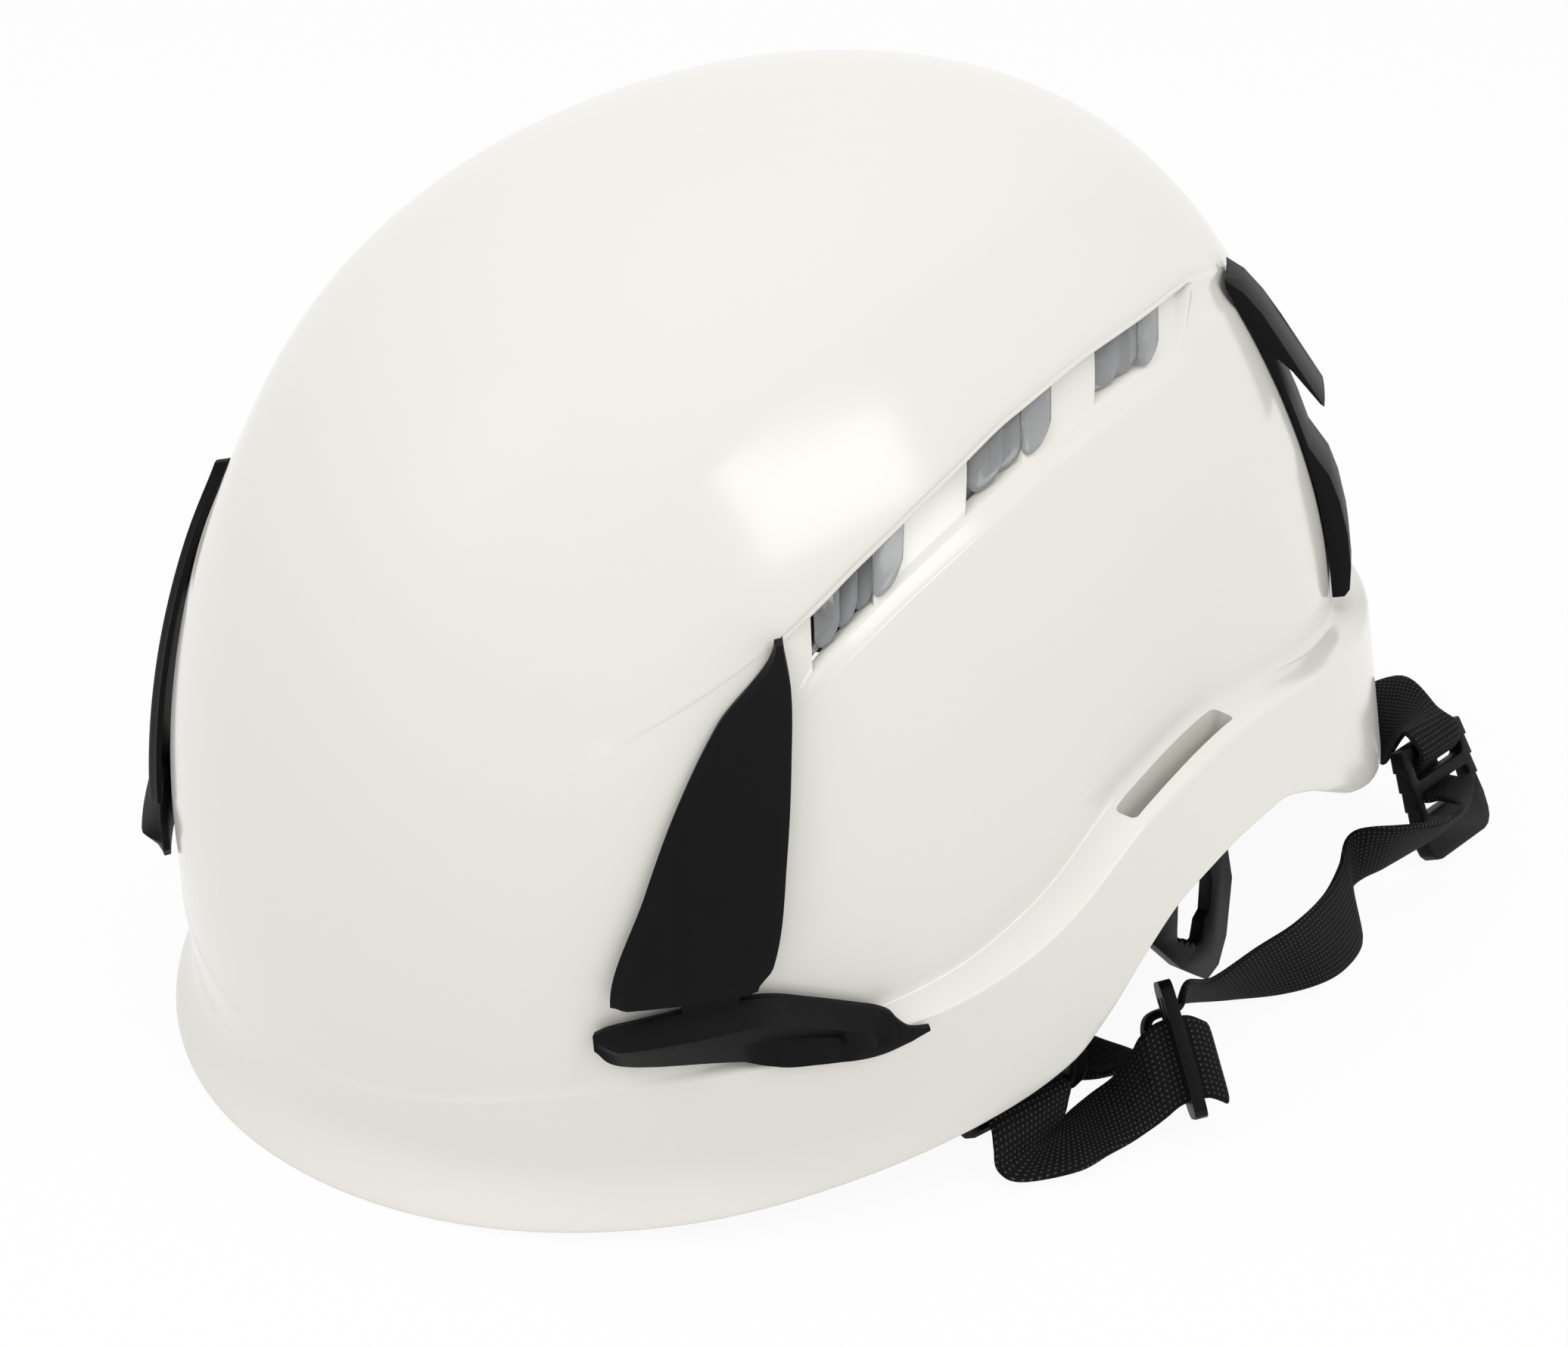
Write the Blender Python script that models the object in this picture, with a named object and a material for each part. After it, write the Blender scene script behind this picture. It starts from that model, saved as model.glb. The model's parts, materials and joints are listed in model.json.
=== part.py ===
"""Climbing helmet: vented hard shell, lamp clips, webbing cradle, ratchet headband and chin strap.

The helmet is drawn level: +X is the wearer's left, -Y the front, +Z up, brim at z = 0.
An empty then tips it nose-down, as it stands on its brim and its nape unit, with the straps laid beside it.
"""
import math

import bmesh
import bpy
import numpy as np
from mathutils import Matrix, Vector

MM = 0.001
GAP = 0.4 * MM

# Shell: dome, wall and the lines that run round it.
DOME_HALF_WIDTH = 100.7 * MM
DOME_FRONT = 135.3 * MM
DOME_REAR = 138.0 * MM
DOME_HEIGHT = 155.7 * MM
DOME_PLAN_POWER = 0.96
DOME_SIDE_POWER = 0.79
QUARTER_SWELL = 3.0 * MM
SWELL_TOP = 105.0 * MM
SWELL_FULL = 45.0 * MM
WALL = 2.6 * MM
VENT_LIP_DEPTH = 3.0 * MM
VENT_LIP_DROP = 1.1 * MM
VENT_SILL = 0.9 * MM
LEDGE_FALL = 1.2 * MM
# Each line is a list of (angle from the front in degrees, millimetres).
CROWN_EDGE = [(0, 78), (20, 82), (34, 91.5), (42, 98.5), (51, 106.5), (62, 113), (76, 118), (95, 120),
              (113, 119), (123, 117.5), (132, 114), (143, 107), (160, 98), (180, 92)]
CHANNEL_LOW = [(0, 66), (20, 70), (34, 79.5), (42, 88), (49, 95.5), (58, 102), (68, 106.5), (81, 110),
               (97, 111), (111, 110), (123, 108), (132, 104), (143, 97), (160, 88), (180, 82)]
LEDGE_TOP = [(0, 20), (25, 27), (40, 31), (54, 33.5), (64, 38.5), (78, 49), (92, 51.5), (104, 48.5),
             (118, 41.5), (132, 34.5), (150, 29), (180, 27)]
LEDGE_WIDTH = [(0, 0.3), (26, 0.3), (40, 4), (54, 7), (64, 8.4), (104, 8.4), (132, 8), (180, 7)]
CREASE_HEIGHT = [(0, 10), (20, 9.4), (35, 10.5), (45, 14), (54, 22), (64, 28), (78, 40), (92, 43),
                 (104, 38), (118, 27), (132, 17), (150, 11), (180, 9)]
FLARE = [(0, 1.0), (25, 1.0), (40, 0.8), (52, 0.3), (62, 0.0), (180, 0.0)]
RIM_LOW = [(0, 0), (30, 0), (52, 1.2), (60, 2.8), (66, 6), (70, 12), (75, 21), (81, 28.5), (90, 32),
           (97, 31), (104, 25.5), (111, 17), (118, 8), (126, 0.5), (136, -5), (150, -7.5), (180, -9)]
# How far the rim stands out past the foot of the dome.
RIM_OVERHANG = [(0, 7.2), (15, 6.8), (30, 5.9), (45, 4.3), (52, 4.2), (60, 5.0), (75, 8.5), (90, 10.8),
                (105, 10.1), (117, 9.8), (130, 11.2), (140, 11.3), (150, 10.1), (165, 7.3), (180, 7.0)]
FLARE_BOW = 1.2 * MM
CROWN_ROWS, PANEL_ROWS, RIM_ROWS = 6, 5, 3
STATION_STEP = 7.5

# Side vents, as angles from the front, and the clear louvres behind them.
VENTS = [(44.7, 55.4), (66.0, 81.8), (94.2, 110.4)]
CHANNEL_START, CHANNEL_FULL, CHANNEL_END = 41.5, 46.5, 119.8
CHANNEL_END_RUN = 0.6
VENT_LEAN = 0.075
SLATS = 4
SLAT_SHARE = 0.78
SLAT_OUT = 3.0 * MM
LOUVRE_THICK = 1.2 * MM
LOUVRE_ROWS = (0.05, 0.14, 0.20, 0.60, 0.86, 0.95)

# Accessory slots in the ledge over the ears.
SLOT_INSET = 1.3 * MM
SLOT_INNER = DOME_HALF_WIDTH - SLOT_INSET
SLOT_WIDTH = 4.6 * MM
SLOT_FRONT = -26.0 * MM
SLOT_LENGTH = 34.5 * MM
SLOT_WALL = 1.5 * MM
SLOT_DEPTH = 16.0 * MM

# Lamp clips.
SAIL_THICK = 2.6 * MM
SAIL_STANDOFF = 1.8 * MM
SAIL_FRONT = [(44.5, 26.7), (63, 29.6), (76, 32.2), (88, 35.8), (98.5, 41.2)]
SAIL_REAR = [(44.5, 37.6), (48, 38.9), (66, 40.7), (80, 41.7), (92, 42.3), (98.5, 42.0)]
SAIL_ROWS, SAIL_COLUMNS = 8, 4
FIN_LINES = [(25.2, 36.0, 37.4, 39.0), (27.0, 32.8, 38.0, 40.4), (33.0, 31.6, 38.9, 42.4),
             (37.8, 30.4, 39.4, 42.4), (42.0, 29.4, 36.6, 39.2), (46.0, 28.4, 32.6, 35.2),
             (50.5, 27.2, 28.2, 29.4)]
FIN_PROUD = 5.5 * MM
NECK_ANGLES = (31.8, 36.2)
REAR_CLIP_ANGLE = 134.0
REAR_CLIP_WIDTH = 20.0 * MM
REAR_CLIP_TOP, REAR_CLIP_FOOT = 111.0 * MM, 40.0 * MM
REAR_HOOK_TIP, REAR_HOOK_ROOT = 79.0 * MM, 89.0 * MM
REAR_PLATE_TOP = 70.0 * MM
REAR_STRUT_THICK, REAR_PLATE_THICK, REAR_HOOK_THICK = 2.2 * MM, 4.4 * MM, 5.0 * MM

# Headband and cradle.
BAND_HALF_WIDTH = 80.0 * MM
BAND_FRONT = 106.0 * MM
BAND_LOW, BAND_TALL = 6.0 * MM, 28.0 * MM
BAND_THICK = 2.0 * MM
BAND_END = 81.0
PAD_THICK = 5.0 * MM
PAD_ANGLE = 62.0
PAD_MARGIN = 2.0 * MM
CRADLE_WIDTH = 22.0 * MM
CRADLE_TOP = 118.0 * MM
CRADLE_LAP = 4.0 * MM
# Share of the way out to the anchor, and share of the rise to the crossing.
CRADLE_ARCH = [(0.975, 0.04), (0.88, 0.13), (0.77, 0.46), (0.60, 0.75), (0.32, 0.94), (0.0, 1.0)]
WEB_THICK = 1.6 * MM
CROWN_PAD_RADIUS = 20.0 * MM
CROWN_PAD_THICK = 4.0 * MM
CROWN_PAD_DROP = 2.4 * MM

# Strap anchors inside the rim.
FRONT_ANCHOR_ANGLE, REAR_ANCHOR_ANGLE = 61.5, 146.0
ANCHOR_LENGTH = 29.0 * MM
ANCHOR_THICK = 3.0 * MM
ANCHOR_UP = 26.0 * MM
ANCHOR_DOWN = 7.5 * MM
ANCHOR_FOOT = 1.8 * MM
ANCHOR_SLOT_LENGTH, ANCHOR_SLOT_TALL = 22.0 * MM, 4.4 * MM
ANCHOR_ARM = 8.0 * MM

# Toothed height plates at the ears.
PLATE_INSET = 7.2 * MM
PLATE_INNER = DOME_HALF_WIDTH - PLATE_INSET
PLATE_THICK = 3.0 * MM
PLATE_OUTLINE = [(-7, 45), (21, 45), (21, 28), (19, 15), (21.5, 4), (19.5, -9), (16.5, -14.5), (12, -15.5),
                 (2, -6.5), (-8, 5.5), (-10, 20)]
PLATE_SLOT_FRONT, PLATE_SLOT_REAR = 1.8 * MM, 10.7 * MM
PLATE_SLOT_LOW = [(11.5, 16), (13.6, 8), (12.8, 0.5), (10.8, -0.6), (9.6, -4.6), (7.4, -4.6),
              (7.0, -3.0), (5.2, -3.0), (4.8, -1.4), (3.0, -1.4), (2.6, 0.4), (0.8, 0.4), (0.6, 3.0)]
LUG_TALL = 10.0 * MM

# Nape unit: arms with racks, ratchet housing, pinion and knob, drawn about the arms' own centre.
NAPE_CENTRE_Y = 18.0 * MM
NAPE_CENTRE_Z = 4.6 * MM
NAPE_TILT = 12.0
ARM_THICK = 2.0 * MM
ARM_CLEARANCE = 0.6 * MM
ARM_RADIUS = BAND_HALF_WIDTH + BAND_THICK / 2 + ARM_CLEARANCE + ARM_THICK / 2
ARM_TALL = 16.0 * MM
ARM_MARGIN = 3.0 * MM
ARM_LUG_TOP = 25.0 * MM
ARM_TRAVEL = 12.0 * MM
RACK_REACH = 9.0 * MM
STUD_ANGLE = 79.5
STUD_HEIGHT = 17.5 * MM
STUD_RADIUS = 3.0 * MM
STUD_HEAD_RADIUS = 6.5 * MM
STUD_HEAD_THICK = 2.0 * MM
PINION_TEETH = 10
GEAR_MODULE = 1.0 * MM
GEAR_BACKLASH = 0.5 * MM
RACK_TALL = 4.0 * MM
HOUSING_HALF_ANGLE = 19.0
HOUSING_WALL = 2.0 * MM
HOUSING_TOP, HOUSING_FOOT = 17.0 * MM, 17.0 * MM
CAVITY_DEPTH = 8.0 * MM
COVER_THICK = 2.4 * MM
SHAFT_RADIUS = 3.0 * MM
KNOB_RADIUS = 15.0 * MM
KNOB_DEPTH = 11.0 * MM
KNOB_GRIPS = 12
NAPE_PAD_THICK = 4.0 * MM
SCREW_RADIUS = 1.0 * MM
SCREW_LENGTH = 6.0 * MM
SCREW_HEAD_RADIUS = 1.9 * MM
SCREW_HEAD_THICK = 1.2 * MM

# Chin strap hardware.
STRAP_WIDTH = 18.5 * MM
GLIDE_LENGTH, GLIDE_HEIGHT, GLIDE_THICK = 26.0 * MM, 11.6 * MM, 2.4 * MM
GLIDE_SLOT, GLIDE_PITCH = 3.0 * MM, 2.6 * MM
LOCK_WIDTH, LOCK_HEIGHT, LOCK_THICK = 27.0 * MM, 26.0 * MM, 3.6 * MM
LOCK_SLOT = 5.0 * MM
LOCK_SLOTS = (0.30, 0.0)
BUCKLE_LENGTH, BUCKLE_WIDTH, BUCKLE_THICK = 30.0 * MM, 32.0 * MM, 9.0 * MM
FLOOR_GAP = 0.6 * MM


def clear_scene():
    for item in list(bpy.data.objects):
        bpy.data.objects.remove(item, do_unlink=True)


def make_material(name, colour, roughness, metallic=0.0, transmission=0.0):
    material = bpy.data.materials.new(name)
    material.use_nodes = True
    shader = material.node_tree.nodes["Principled BSDF"]
    shader.inputs["Base Color"].default_value = (*colour, 1.0)
    shader.inputs["Roughness"].default_value = roughness
    shader.inputs["Metallic"].default_value = metallic
    shader.inputs["Transmission Weight"].default_value = transmission
    material.diffuse_color = (*colour, 1.0)
    return material


def add_object(name, mesh, material, parent, origin=(0, 0, 0)):
    """Object whose mesh is given in its parent's frame, with its own origin moved to origin."""
    mesh.transform(Matrix.Translation(-Vector(origin)))
    mesh.name = name
    mesh.materials.clear()
    mesh.materials.append(material)
    item = bpy.data.objects.new(name, mesh)
    item.location = origin
    item.parent = parent
    PARTS.objects.link(item)
    return item


def mirrored(source, name):
    """Copy of a left-hand object on the wearer's right."""
    mesh = source.data.copy()
    mesh.transform(Matrix.Scale(-1, 4, (1, 0, 0)))
    mesh.flip_normals()
    x, y, z = source.location
    mesh.name = name
    item = bpy.data.objects.new(name, mesh)
    item.location = (-x, y, z)
    item.parent = source.parent
    PARTS.objects.link(item)
    return item


def line(knots, angle):
    """Smooth line through (angle, value) knots that never overshoots them."""
    x, y = np.array(knots, float).T
    step = np.diff(x)
    slope = np.diff(y) / step
    tangent = np.zeros(len(x))
    for i in range(1, len(x) - 1):
        if slope[i - 1] * slope[i] > 0:
            a, b = 2 * step[i] + step[i - 1], step[i] + 2 * step[i - 1]
            tangent[i] = (a + b) / (a / slope[i - 1] + b / slope[i])
    at = np.clip(angle, x[0], x[-1])
    i = int(np.clip(np.searchsorted(x, at) - 1, 0, len(step) - 1))
    t = (at - x[i]) / step[i]
    ends = (1 + 2 * t) * (1 - t) ** 2 * y[i] + t * t * (3 - 2 * t) * y[i + 1]
    bends = t * (1 - t) ** 2 * tangent[i] + t * t * (t - 1) * tangent[i + 1]
    return ends + bends * step[i]


def line_mm(knots, angle):
    return line(knots, angle) * MM


def smooth(t):
    t = min(max(t, 0.0), 1.0)
    return t * t * (3 - 2 * t)


def polar(angle, radius, z):
    """Point at an angle from the front, towards the wearer's left."""
    a = math.radians(angle)
    return np.array([radius * math.sin(a), -radius * math.cos(a), z])


def dome_radius(angle, z, inset=0.0):
    """Plan radius of the dome, or of the dome drawn smaller by inset."""
    a = math.radians(angle)
    reach = (DOME_FRONT if math.cos(a) > 0 else DOME_REAR) - inset
    p = 2 / DOME_PLAN_POWER
    plan = (abs(math.sin(a) / (DOME_HALF_WIDTH - inset)) ** p + abs(math.cos(a) / reach) ** p) ** (-1 / p)
    q = 2 / DOME_SIDE_POWER
    rise = min(max(z / (DOME_HEIGHT - inset), 0.0), 1.0)
    swell = QUARTER_SWELL * math.sin(2 * a) ** 2 * smooth((SWELL_TOP - z) / (SWELL_TOP - SWELL_FULL))
    return plan * (1 - rise ** q) ** (1 / q) + swell


def channel(angle):
    """How deep the vent channel is, from 0 to 1."""
    fade_in = smooth((angle - CHANNEL_START) / (CHANNEL_FULL - CHANNEL_START))
    return fade_in * smooth((CHANNEL_END - angle) / CHANNEL_END_RUN + 0.5)


def lean(angle):
    """Degrees by which the channel's upright edges lean back at the top."""
    back = smooth((180 - angle) / (180 - CHANNEL_END))
    return VENT_LEAN * max(angle - CHANNEL_START, 0) * back


def crown_run(angle, edge, inset):
    """Rows from near the pole to the crown's edge."""
    top = DOME_HEIGHT - inset
    last = math.asin(min((edge / top) ** (1 / DOME_SIDE_POWER), 1))
    heights = [top * math.sin(math.pi / 2 + (last - math.pi / 2) * k / CROWN_ROWS) ** DOME_SIDE_POWER
               for k in range(1, CROWN_ROWS + 1)]
    return [(dome_radius(angle, z, inset), z) for z in heights]


def meridian(angle, inner=False, deep=None):
    """Rows (radius, z) from near the pole to the rim, on the outside or the inside of the wall."""
    inset = WALL if inner else 0.0
    deep = channel(angle) if deep is None else deep
    edge, low = line_mm(CROWN_EDGE, angle), line_mm(CHANNEL_LOW, angle)
    ledge, wide = line_mm(LEDGE_TOP, angle), line_mm(LEDGE_WIDTH, angle)
    rim, reach = line_mm(RIM_LOW, angle), dome_radius(angle, 0.0) + line_mm(RIM_OVERHANG, angle)
    crease, flare = line_mm(CREASE_HEIGHT, angle), line(FLARE, angle)

    hood = (WALL + GAP) * deep if inner else 0.0
    rows = crown_run(angle, edge + 1.4 * hood, inset)
    under = edge + 0.7 * hood - VENT_LIP_DROP * deep - 0.3 * MM
    rows.append((dome_radius(angle, edge + 0.7 * hood, inset) - VENT_LIP_DEPTH * deep, under))
    rows.append((dome_radius(angle, low + VENT_SILL, inset) - VENT_SILL * deep, low + VENT_SILL))
    foot = low - 0.5 * hood
    rows.append((dome_radius(angle, low, inset), foot))
    shelf = ledge - inset
    for z in np.linspace(foot, shelf, PANEL_ROWS + 1)[1:]:
        rows.append((dome_radius(angle, z, inset), z))
    brow = ledge - LEDGE_FALL
    brow_radius = dome_radius(angle, brow) + wide
    rows.append((brow_radius - inset, brow - inset))
    straight = brow_radius + (reach - brow_radius) * (brow - crease) / (brow - rim)
    waist = flare * dome_radius(angle, crease) + (1 - flare) * straight
    start = crease - 0.3 * inset * flare
    rows.append((waist - inset, start))
    for t in np.linspace(0, 1, RIM_ROWS + 1)[1:]:
        bow = flare * FLARE_BOW * math.sin(math.pi * t)
        rows.append((waist + (reach - waist) * t - bow - inset, start + (rim - start) * t))
    return rows


def row_leans():
    """How far each row of a meridian takes part in the lean of the channel's upright edges."""
    crown = [(k / CROWN_ROWS) ** 3 for k in range(1, CROWN_ROWS + 1)]
    panel = [-1 + k / PANEL_ROWS for k in range(1, PANEL_ROWS + 1)]
    return crown + [1.0, -1.0, -1.0] + panel + [0.0] * (2 + RIM_ROWS)


def wall_radius(angle, z, inner=False):
    """Radius of the shell's outer or inner face at a height, read along one meridian."""
    rows = np.array(meridian(abs(angle), inner))[::-1]
    return float(np.interp(z, rows[:, 1], rows[:, 0]))


def wall_frame(angle, z, depth):
    """Matrix on the inner wall: X along the wall to the rear, Y up, Z outward, depth in from the wall."""
    ahead, behind = (polar(angle + d, wall_radius(angle + d, z, True), z) for d in (4, -4))
    along = Vector(ahead - behind).normalized()
    out = along.cross(Vector((0, 0, 1))).normalized()
    if out.dot(Vector(polar(angle, 1, 0))) < 0:
        out = -out
    spot = Vector(polar(angle, wall_radius(angle, z, True), z)) - out * depth
    return frame_matrix(spot, along, Vector((0, 0, 1)), out)


def frame_matrix(origin, x, y, z):
    columns = [list(v) + [0.0] for v in (x, y, z)] + [list(origin) + [1.0]]
    return Matrix(columns).transposed()


def skin(outer, inner, holes=(), closed=False, poles=None):
    """Closed mesh between two grids of points [station][row], with walls round its borders and holes."""
    outer, inner = np.asarray(outer, float), np.asarray(inner, float)
    stations, rows = outer.shape[:2]
    bm = bmesh.new()
    grids = [[[bm.verts.new(p) for p in row] for row in grid] for grid in (outer, inner)]
    spans = stations if closed else stations - 1

    def solid(i, j):
        if not closed and not 0 <= i < spans:
            return False
        return 0 <= j < rows - 1 and (i % spans, j) not in holes

    def wall(a, b):
        (i, j), (k, m) = a, b
        far = [grids[1][k % stations][m], grids[1][i % stations][j]]
        bm.faces.new([grids[0][i % stations][j], grids[0][k % stations][m]] + far)

    for i in range(spans):
        k = (i + 1) % stations
        for j in range(rows - 1):
            if not solid(i, j):
                continue
            for grid in grids:
                bm.faces.new([grid[i][j], grid[k][j], grid[k][j + 1], grid[i][j + 1]])
            if not solid(i - 1, j):
                wall((i, j), (i, j + 1))
            if not solid(i + 1, j):
                wall((i + 1, j), (i + 1, j + 1))
            if not solid(i, j - 1) and not (poles is not None and j == 0):
                wall((i, j), (i + 1, j))
            if not solid(i, j + 1):
                wall((i, j + 1), (i + 1, j + 1))
    if poles is not None:
        for grid, pole in zip(grids, poles):
            tip = bm.verts.new(pole)
            for i in range(spans):
                bm.faces.new([tip, grid[i][0], grid[(i + 1) % stations][0]])
    bmesh.ops.delete(bm, geom=[v for v in bm.verts if not v.link_faces], context="VERTS")
    bmesh.ops.recalc_face_normals(bm, faces=bm.faces)
    mesh = bpy.data.meshes.new("skin")
    bm.to_mesh(mesh)
    bm.free()
    return mesh


def flat_plate(outlines, thickness, matrix):
    """Extruded 2D outline with holes, in a plane given by matrix, as a welded mesh."""
    curve = bpy.data.curves.new("plate", "CURVE")
    curve.dimensions = "2D"
    curve.fill_mode = "BOTH"
    curve.extrude = thickness / 2
    for outline in outlines:
        spline = curve.splines.new("POLY")
        spline.points.add(len(outline) - 1)
        spline.use_cyclic_u = True
        for point, (x, y) in zip(spline.points, outline):
            point.co = (x, y, 0, 1)
    item = bpy.data.objects.new("plate", curve)
    bpy.context.scene.collection.objects.link(item)
    graph = bpy.context.evaluated_depsgraph_get()
    mesh = bpy.data.meshes.new_from_object(item.evaluated_get(graph))
    bpy.data.objects.remove(item, do_unlink=True)
    bm = bmesh.new()
    bm.from_mesh(mesh)
    bmesh.ops.remove_doubles(bm, verts=bm.verts, dist=1e-6)
    bmesh.ops.recalc_face_normals(bm, faces=bm.faces)
    bm.to_mesh(mesh)
    bm.free()
    mesh.transform(matrix)
    return mesh


def rounded_box(width, height, radius, steps=3, centre=(0.0, 0.0)):
    """Outline of a rectangle with round corners."""
    points = []
    for turn, (sx, sy) in enumerate([(1, 1), (-1, 1), (-1, -1), (1, -1)]):
        for k in range(steps + 1):
            a = math.pi / 2 * (turn + k / steps)
            x = sx * (width / 2 - radius) + radius * math.cos(a)
            y = sy * (height / 2 - radius) + radius * math.sin(a)
            points.append((centre[0] + x, centre[1] + y))
    return points


def box_mesh(low, high):
    bm = bmesh.new()
    bmesh.ops.create_cube(bm, size=1.0)
    size = [h - l for l, h in zip(low, high)]
    middle = [(h + l) / 2 for l, h in zip(low, high)]
    bmesh.ops.transform(bm, matrix=Matrix.Translation(middle) @ Matrix.Diagonal((*size, 1)), verts=bm.verts)
    mesh = bpy.data.meshes.new("box")
    bm.to_mesh(mesh)
    bm.free()
    return mesh


def cylinder_mesh(radius, low, high, matrix, count=24):
    """Cylinder along the matrix's Z, from low to high."""
    bm = bmesh.new()
    bmesh.ops.create_cone(bm, cap_ends=True, segments=count, radius1=radius, radius2=radius, depth=high - low)
    mesh = bpy.data.meshes.new("cylinder")
    bm.to_mesh(mesh)
    bm.free()
    mesh.transform(matrix @ Matrix.Translation((0, 0, (low + high) / 2)))
    return mesh


def combine(base, others, operation):
    """Boolean of one mesh with several others, as a plain mesh."""
    for other in others:
        body = bpy.data.objects.new("body", base)
        tool = bpy.data.objects.new("tool", other)
        for item in (body, tool):
            bpy.context.scene.collection.objects.link(item)
        cut = body.modifiers.new("cut", "BOOLEAN")
        cut.operation = operation
        cut.solver = "EXACT"
        cut.object = tool
        graph = bpy.context.evaluated_depsgraph_get()
        base = bpy.data.meshes.new_from_object(body.evaluated_get(graph))
        for item in (body, tool):
            bpy.data.objects.remove(item, do_unlink=True)
    return base


def unit(v):
    v = np.asarray(v, float)
    return v / np.linalg.norm(v)


def spline(points, per_span):
    """Smooth curve through the points, with per_span steps between neighbours."""
    p = np.asarray(points, float)
    padded = np.vstack([2 * p[0] - p[1], p, 2 * p[-1] - p[-2]])
    out = []
    for a, b, c, d in zip(padded, padded[1:], padded[2:], padded[3:]):
        for k in range(per_span):
            t = k / per_span
            out.append(0.5 * (2 * b + (c - a) * t + (2 * a - 5 * b + 4 * c - d) * t ** 2
                              + (3 * b - a - 3 * c + d) * t ** 3))
    return np.array(out + [p[-1]])


def pair(centre, across, width):
    """Two edge points of a strap, from its middle and the direction across it."""
    half = unit(across) * width / 2
    return (np.asarray(centre) - half, np.asarray(centre) + half)


def webbing(pairs, per_span=3, floor=None):
    """Flat strap through pairs of edge points, lifted clear of a floor."""
    edges = np.stack([spline([ends[k] for ends in pairs], per_span) for k in (0, 1)], axis=1)
    travel = np.gradient(edges.mean(axis=1), axis=0)
    front, back = [], []
    for ends, ahead in zip(edges, travel):
        up = unit(np.cross(ahead, ends[1] - ends[0])) * WEB_THICK / 2
        faces = np.array([ends + up, ends - up])
        if floor is not None:
            faces[..., 2] += max(floor - faces[..., 2].min(), 0.0)
        front.append(faces[0])
        back.append(faces[1])
    return skin(front, back)


def shell_stations():
    """Angles of the shell's meridians on one side, with one on each edge that the side holds."""
    edges = [0.0, CHANNEL_START, CHANNEL_FULL, CHANNEL_END - CHANNEL_END_RUN, CHANNEL_END + CHANNEL_END_RUN, 180.0]
    edges += [a for vent in VENTS for a in vent]
    edges.sort()
    angles = []
    for a, b in zip(edges, edges[1:]):
        count = max(1, math.ceil((b - a) / STATION_STEP - 0.01))
        angles += [a + (b - a) * k / count for k in range(count)]
    return angles + [180.0]


def shell_point(angle, inner, row):
    """Point of one row of the shell, leaned back where the vent channel leans."""
    turned = angle + lean(angle) * ROW_LEANS[row]
    radius, z = meridian(turned, inner, channel(angle))[row]
    return polar(turned, radius, z)


def shell_grid(angles, inner):
    mirror = np.array([-1, 1, 1])
    columns = {a: [shell_point(a, inner, row) for row in range(len(ROW_LEANS))] for a in angles if a >= 0}
    return [columns[a] if a >= 0 else [p * mirror for p in columns[-a]] for a in angles]


def make_shell():
    half = shell_stations()
    angles = half + [-a for a in half[-2:0:-1]]
    vent_row = CROWN_ROWS
    holes = set()
    for i, angle in enumerate(angles):
        after = angles[(i + 1) % len(angles)]
        middle = abs(angle + after) / 2
        if any(low < middle < high for low, high in VENTS):
            holes.add((i, vent_row))
    poles = [(0, 0, DOME_HEIGHT), (0, 0, DOME_HEIGHT - WALL)]
    shell = skin(shell_grid(angles, False), shell_grid(angles, True), holes, True, poles)
    ledge = line_mm(LEDGE_TOP, 90)
    low, high = ledge - SLOT_DEPTH, ledge - 1.5 * LEDGE_FALL - GAP
    rear = SLOT_FRONT + SLOT_LENGTH
    outer = SLOT_INNER + SLOT_WIDTH
    sleeves = [box_mesh((SLOT_INNER - SLOT_WALL, SLOT_FRONT - SLOT_WALL, low),
                        (outer + SLOT_WALL, rear + SLOT_WALL, high))]
    cutters = [box_mesh((SLOT_INNER, SLOT_FRONT, low - SLOT_DEPTH), (outer, rear, ledge + SLOT_DEPTH))]
    for group in (sleeves, cutters):
        right = group[0].copy()
        right.transform(Matrix.Scale(-1, 4, (1, 0, 0)))
        right.flip_normals()
        group.append(right)
    shell = combine(shell, sleeves, "UNION")
    shell = combine(shell, cutters, "DIFFERENCE")
    shell.shade_smooth()
    add_object("shell", shell, WHITE, HELMET)


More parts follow.
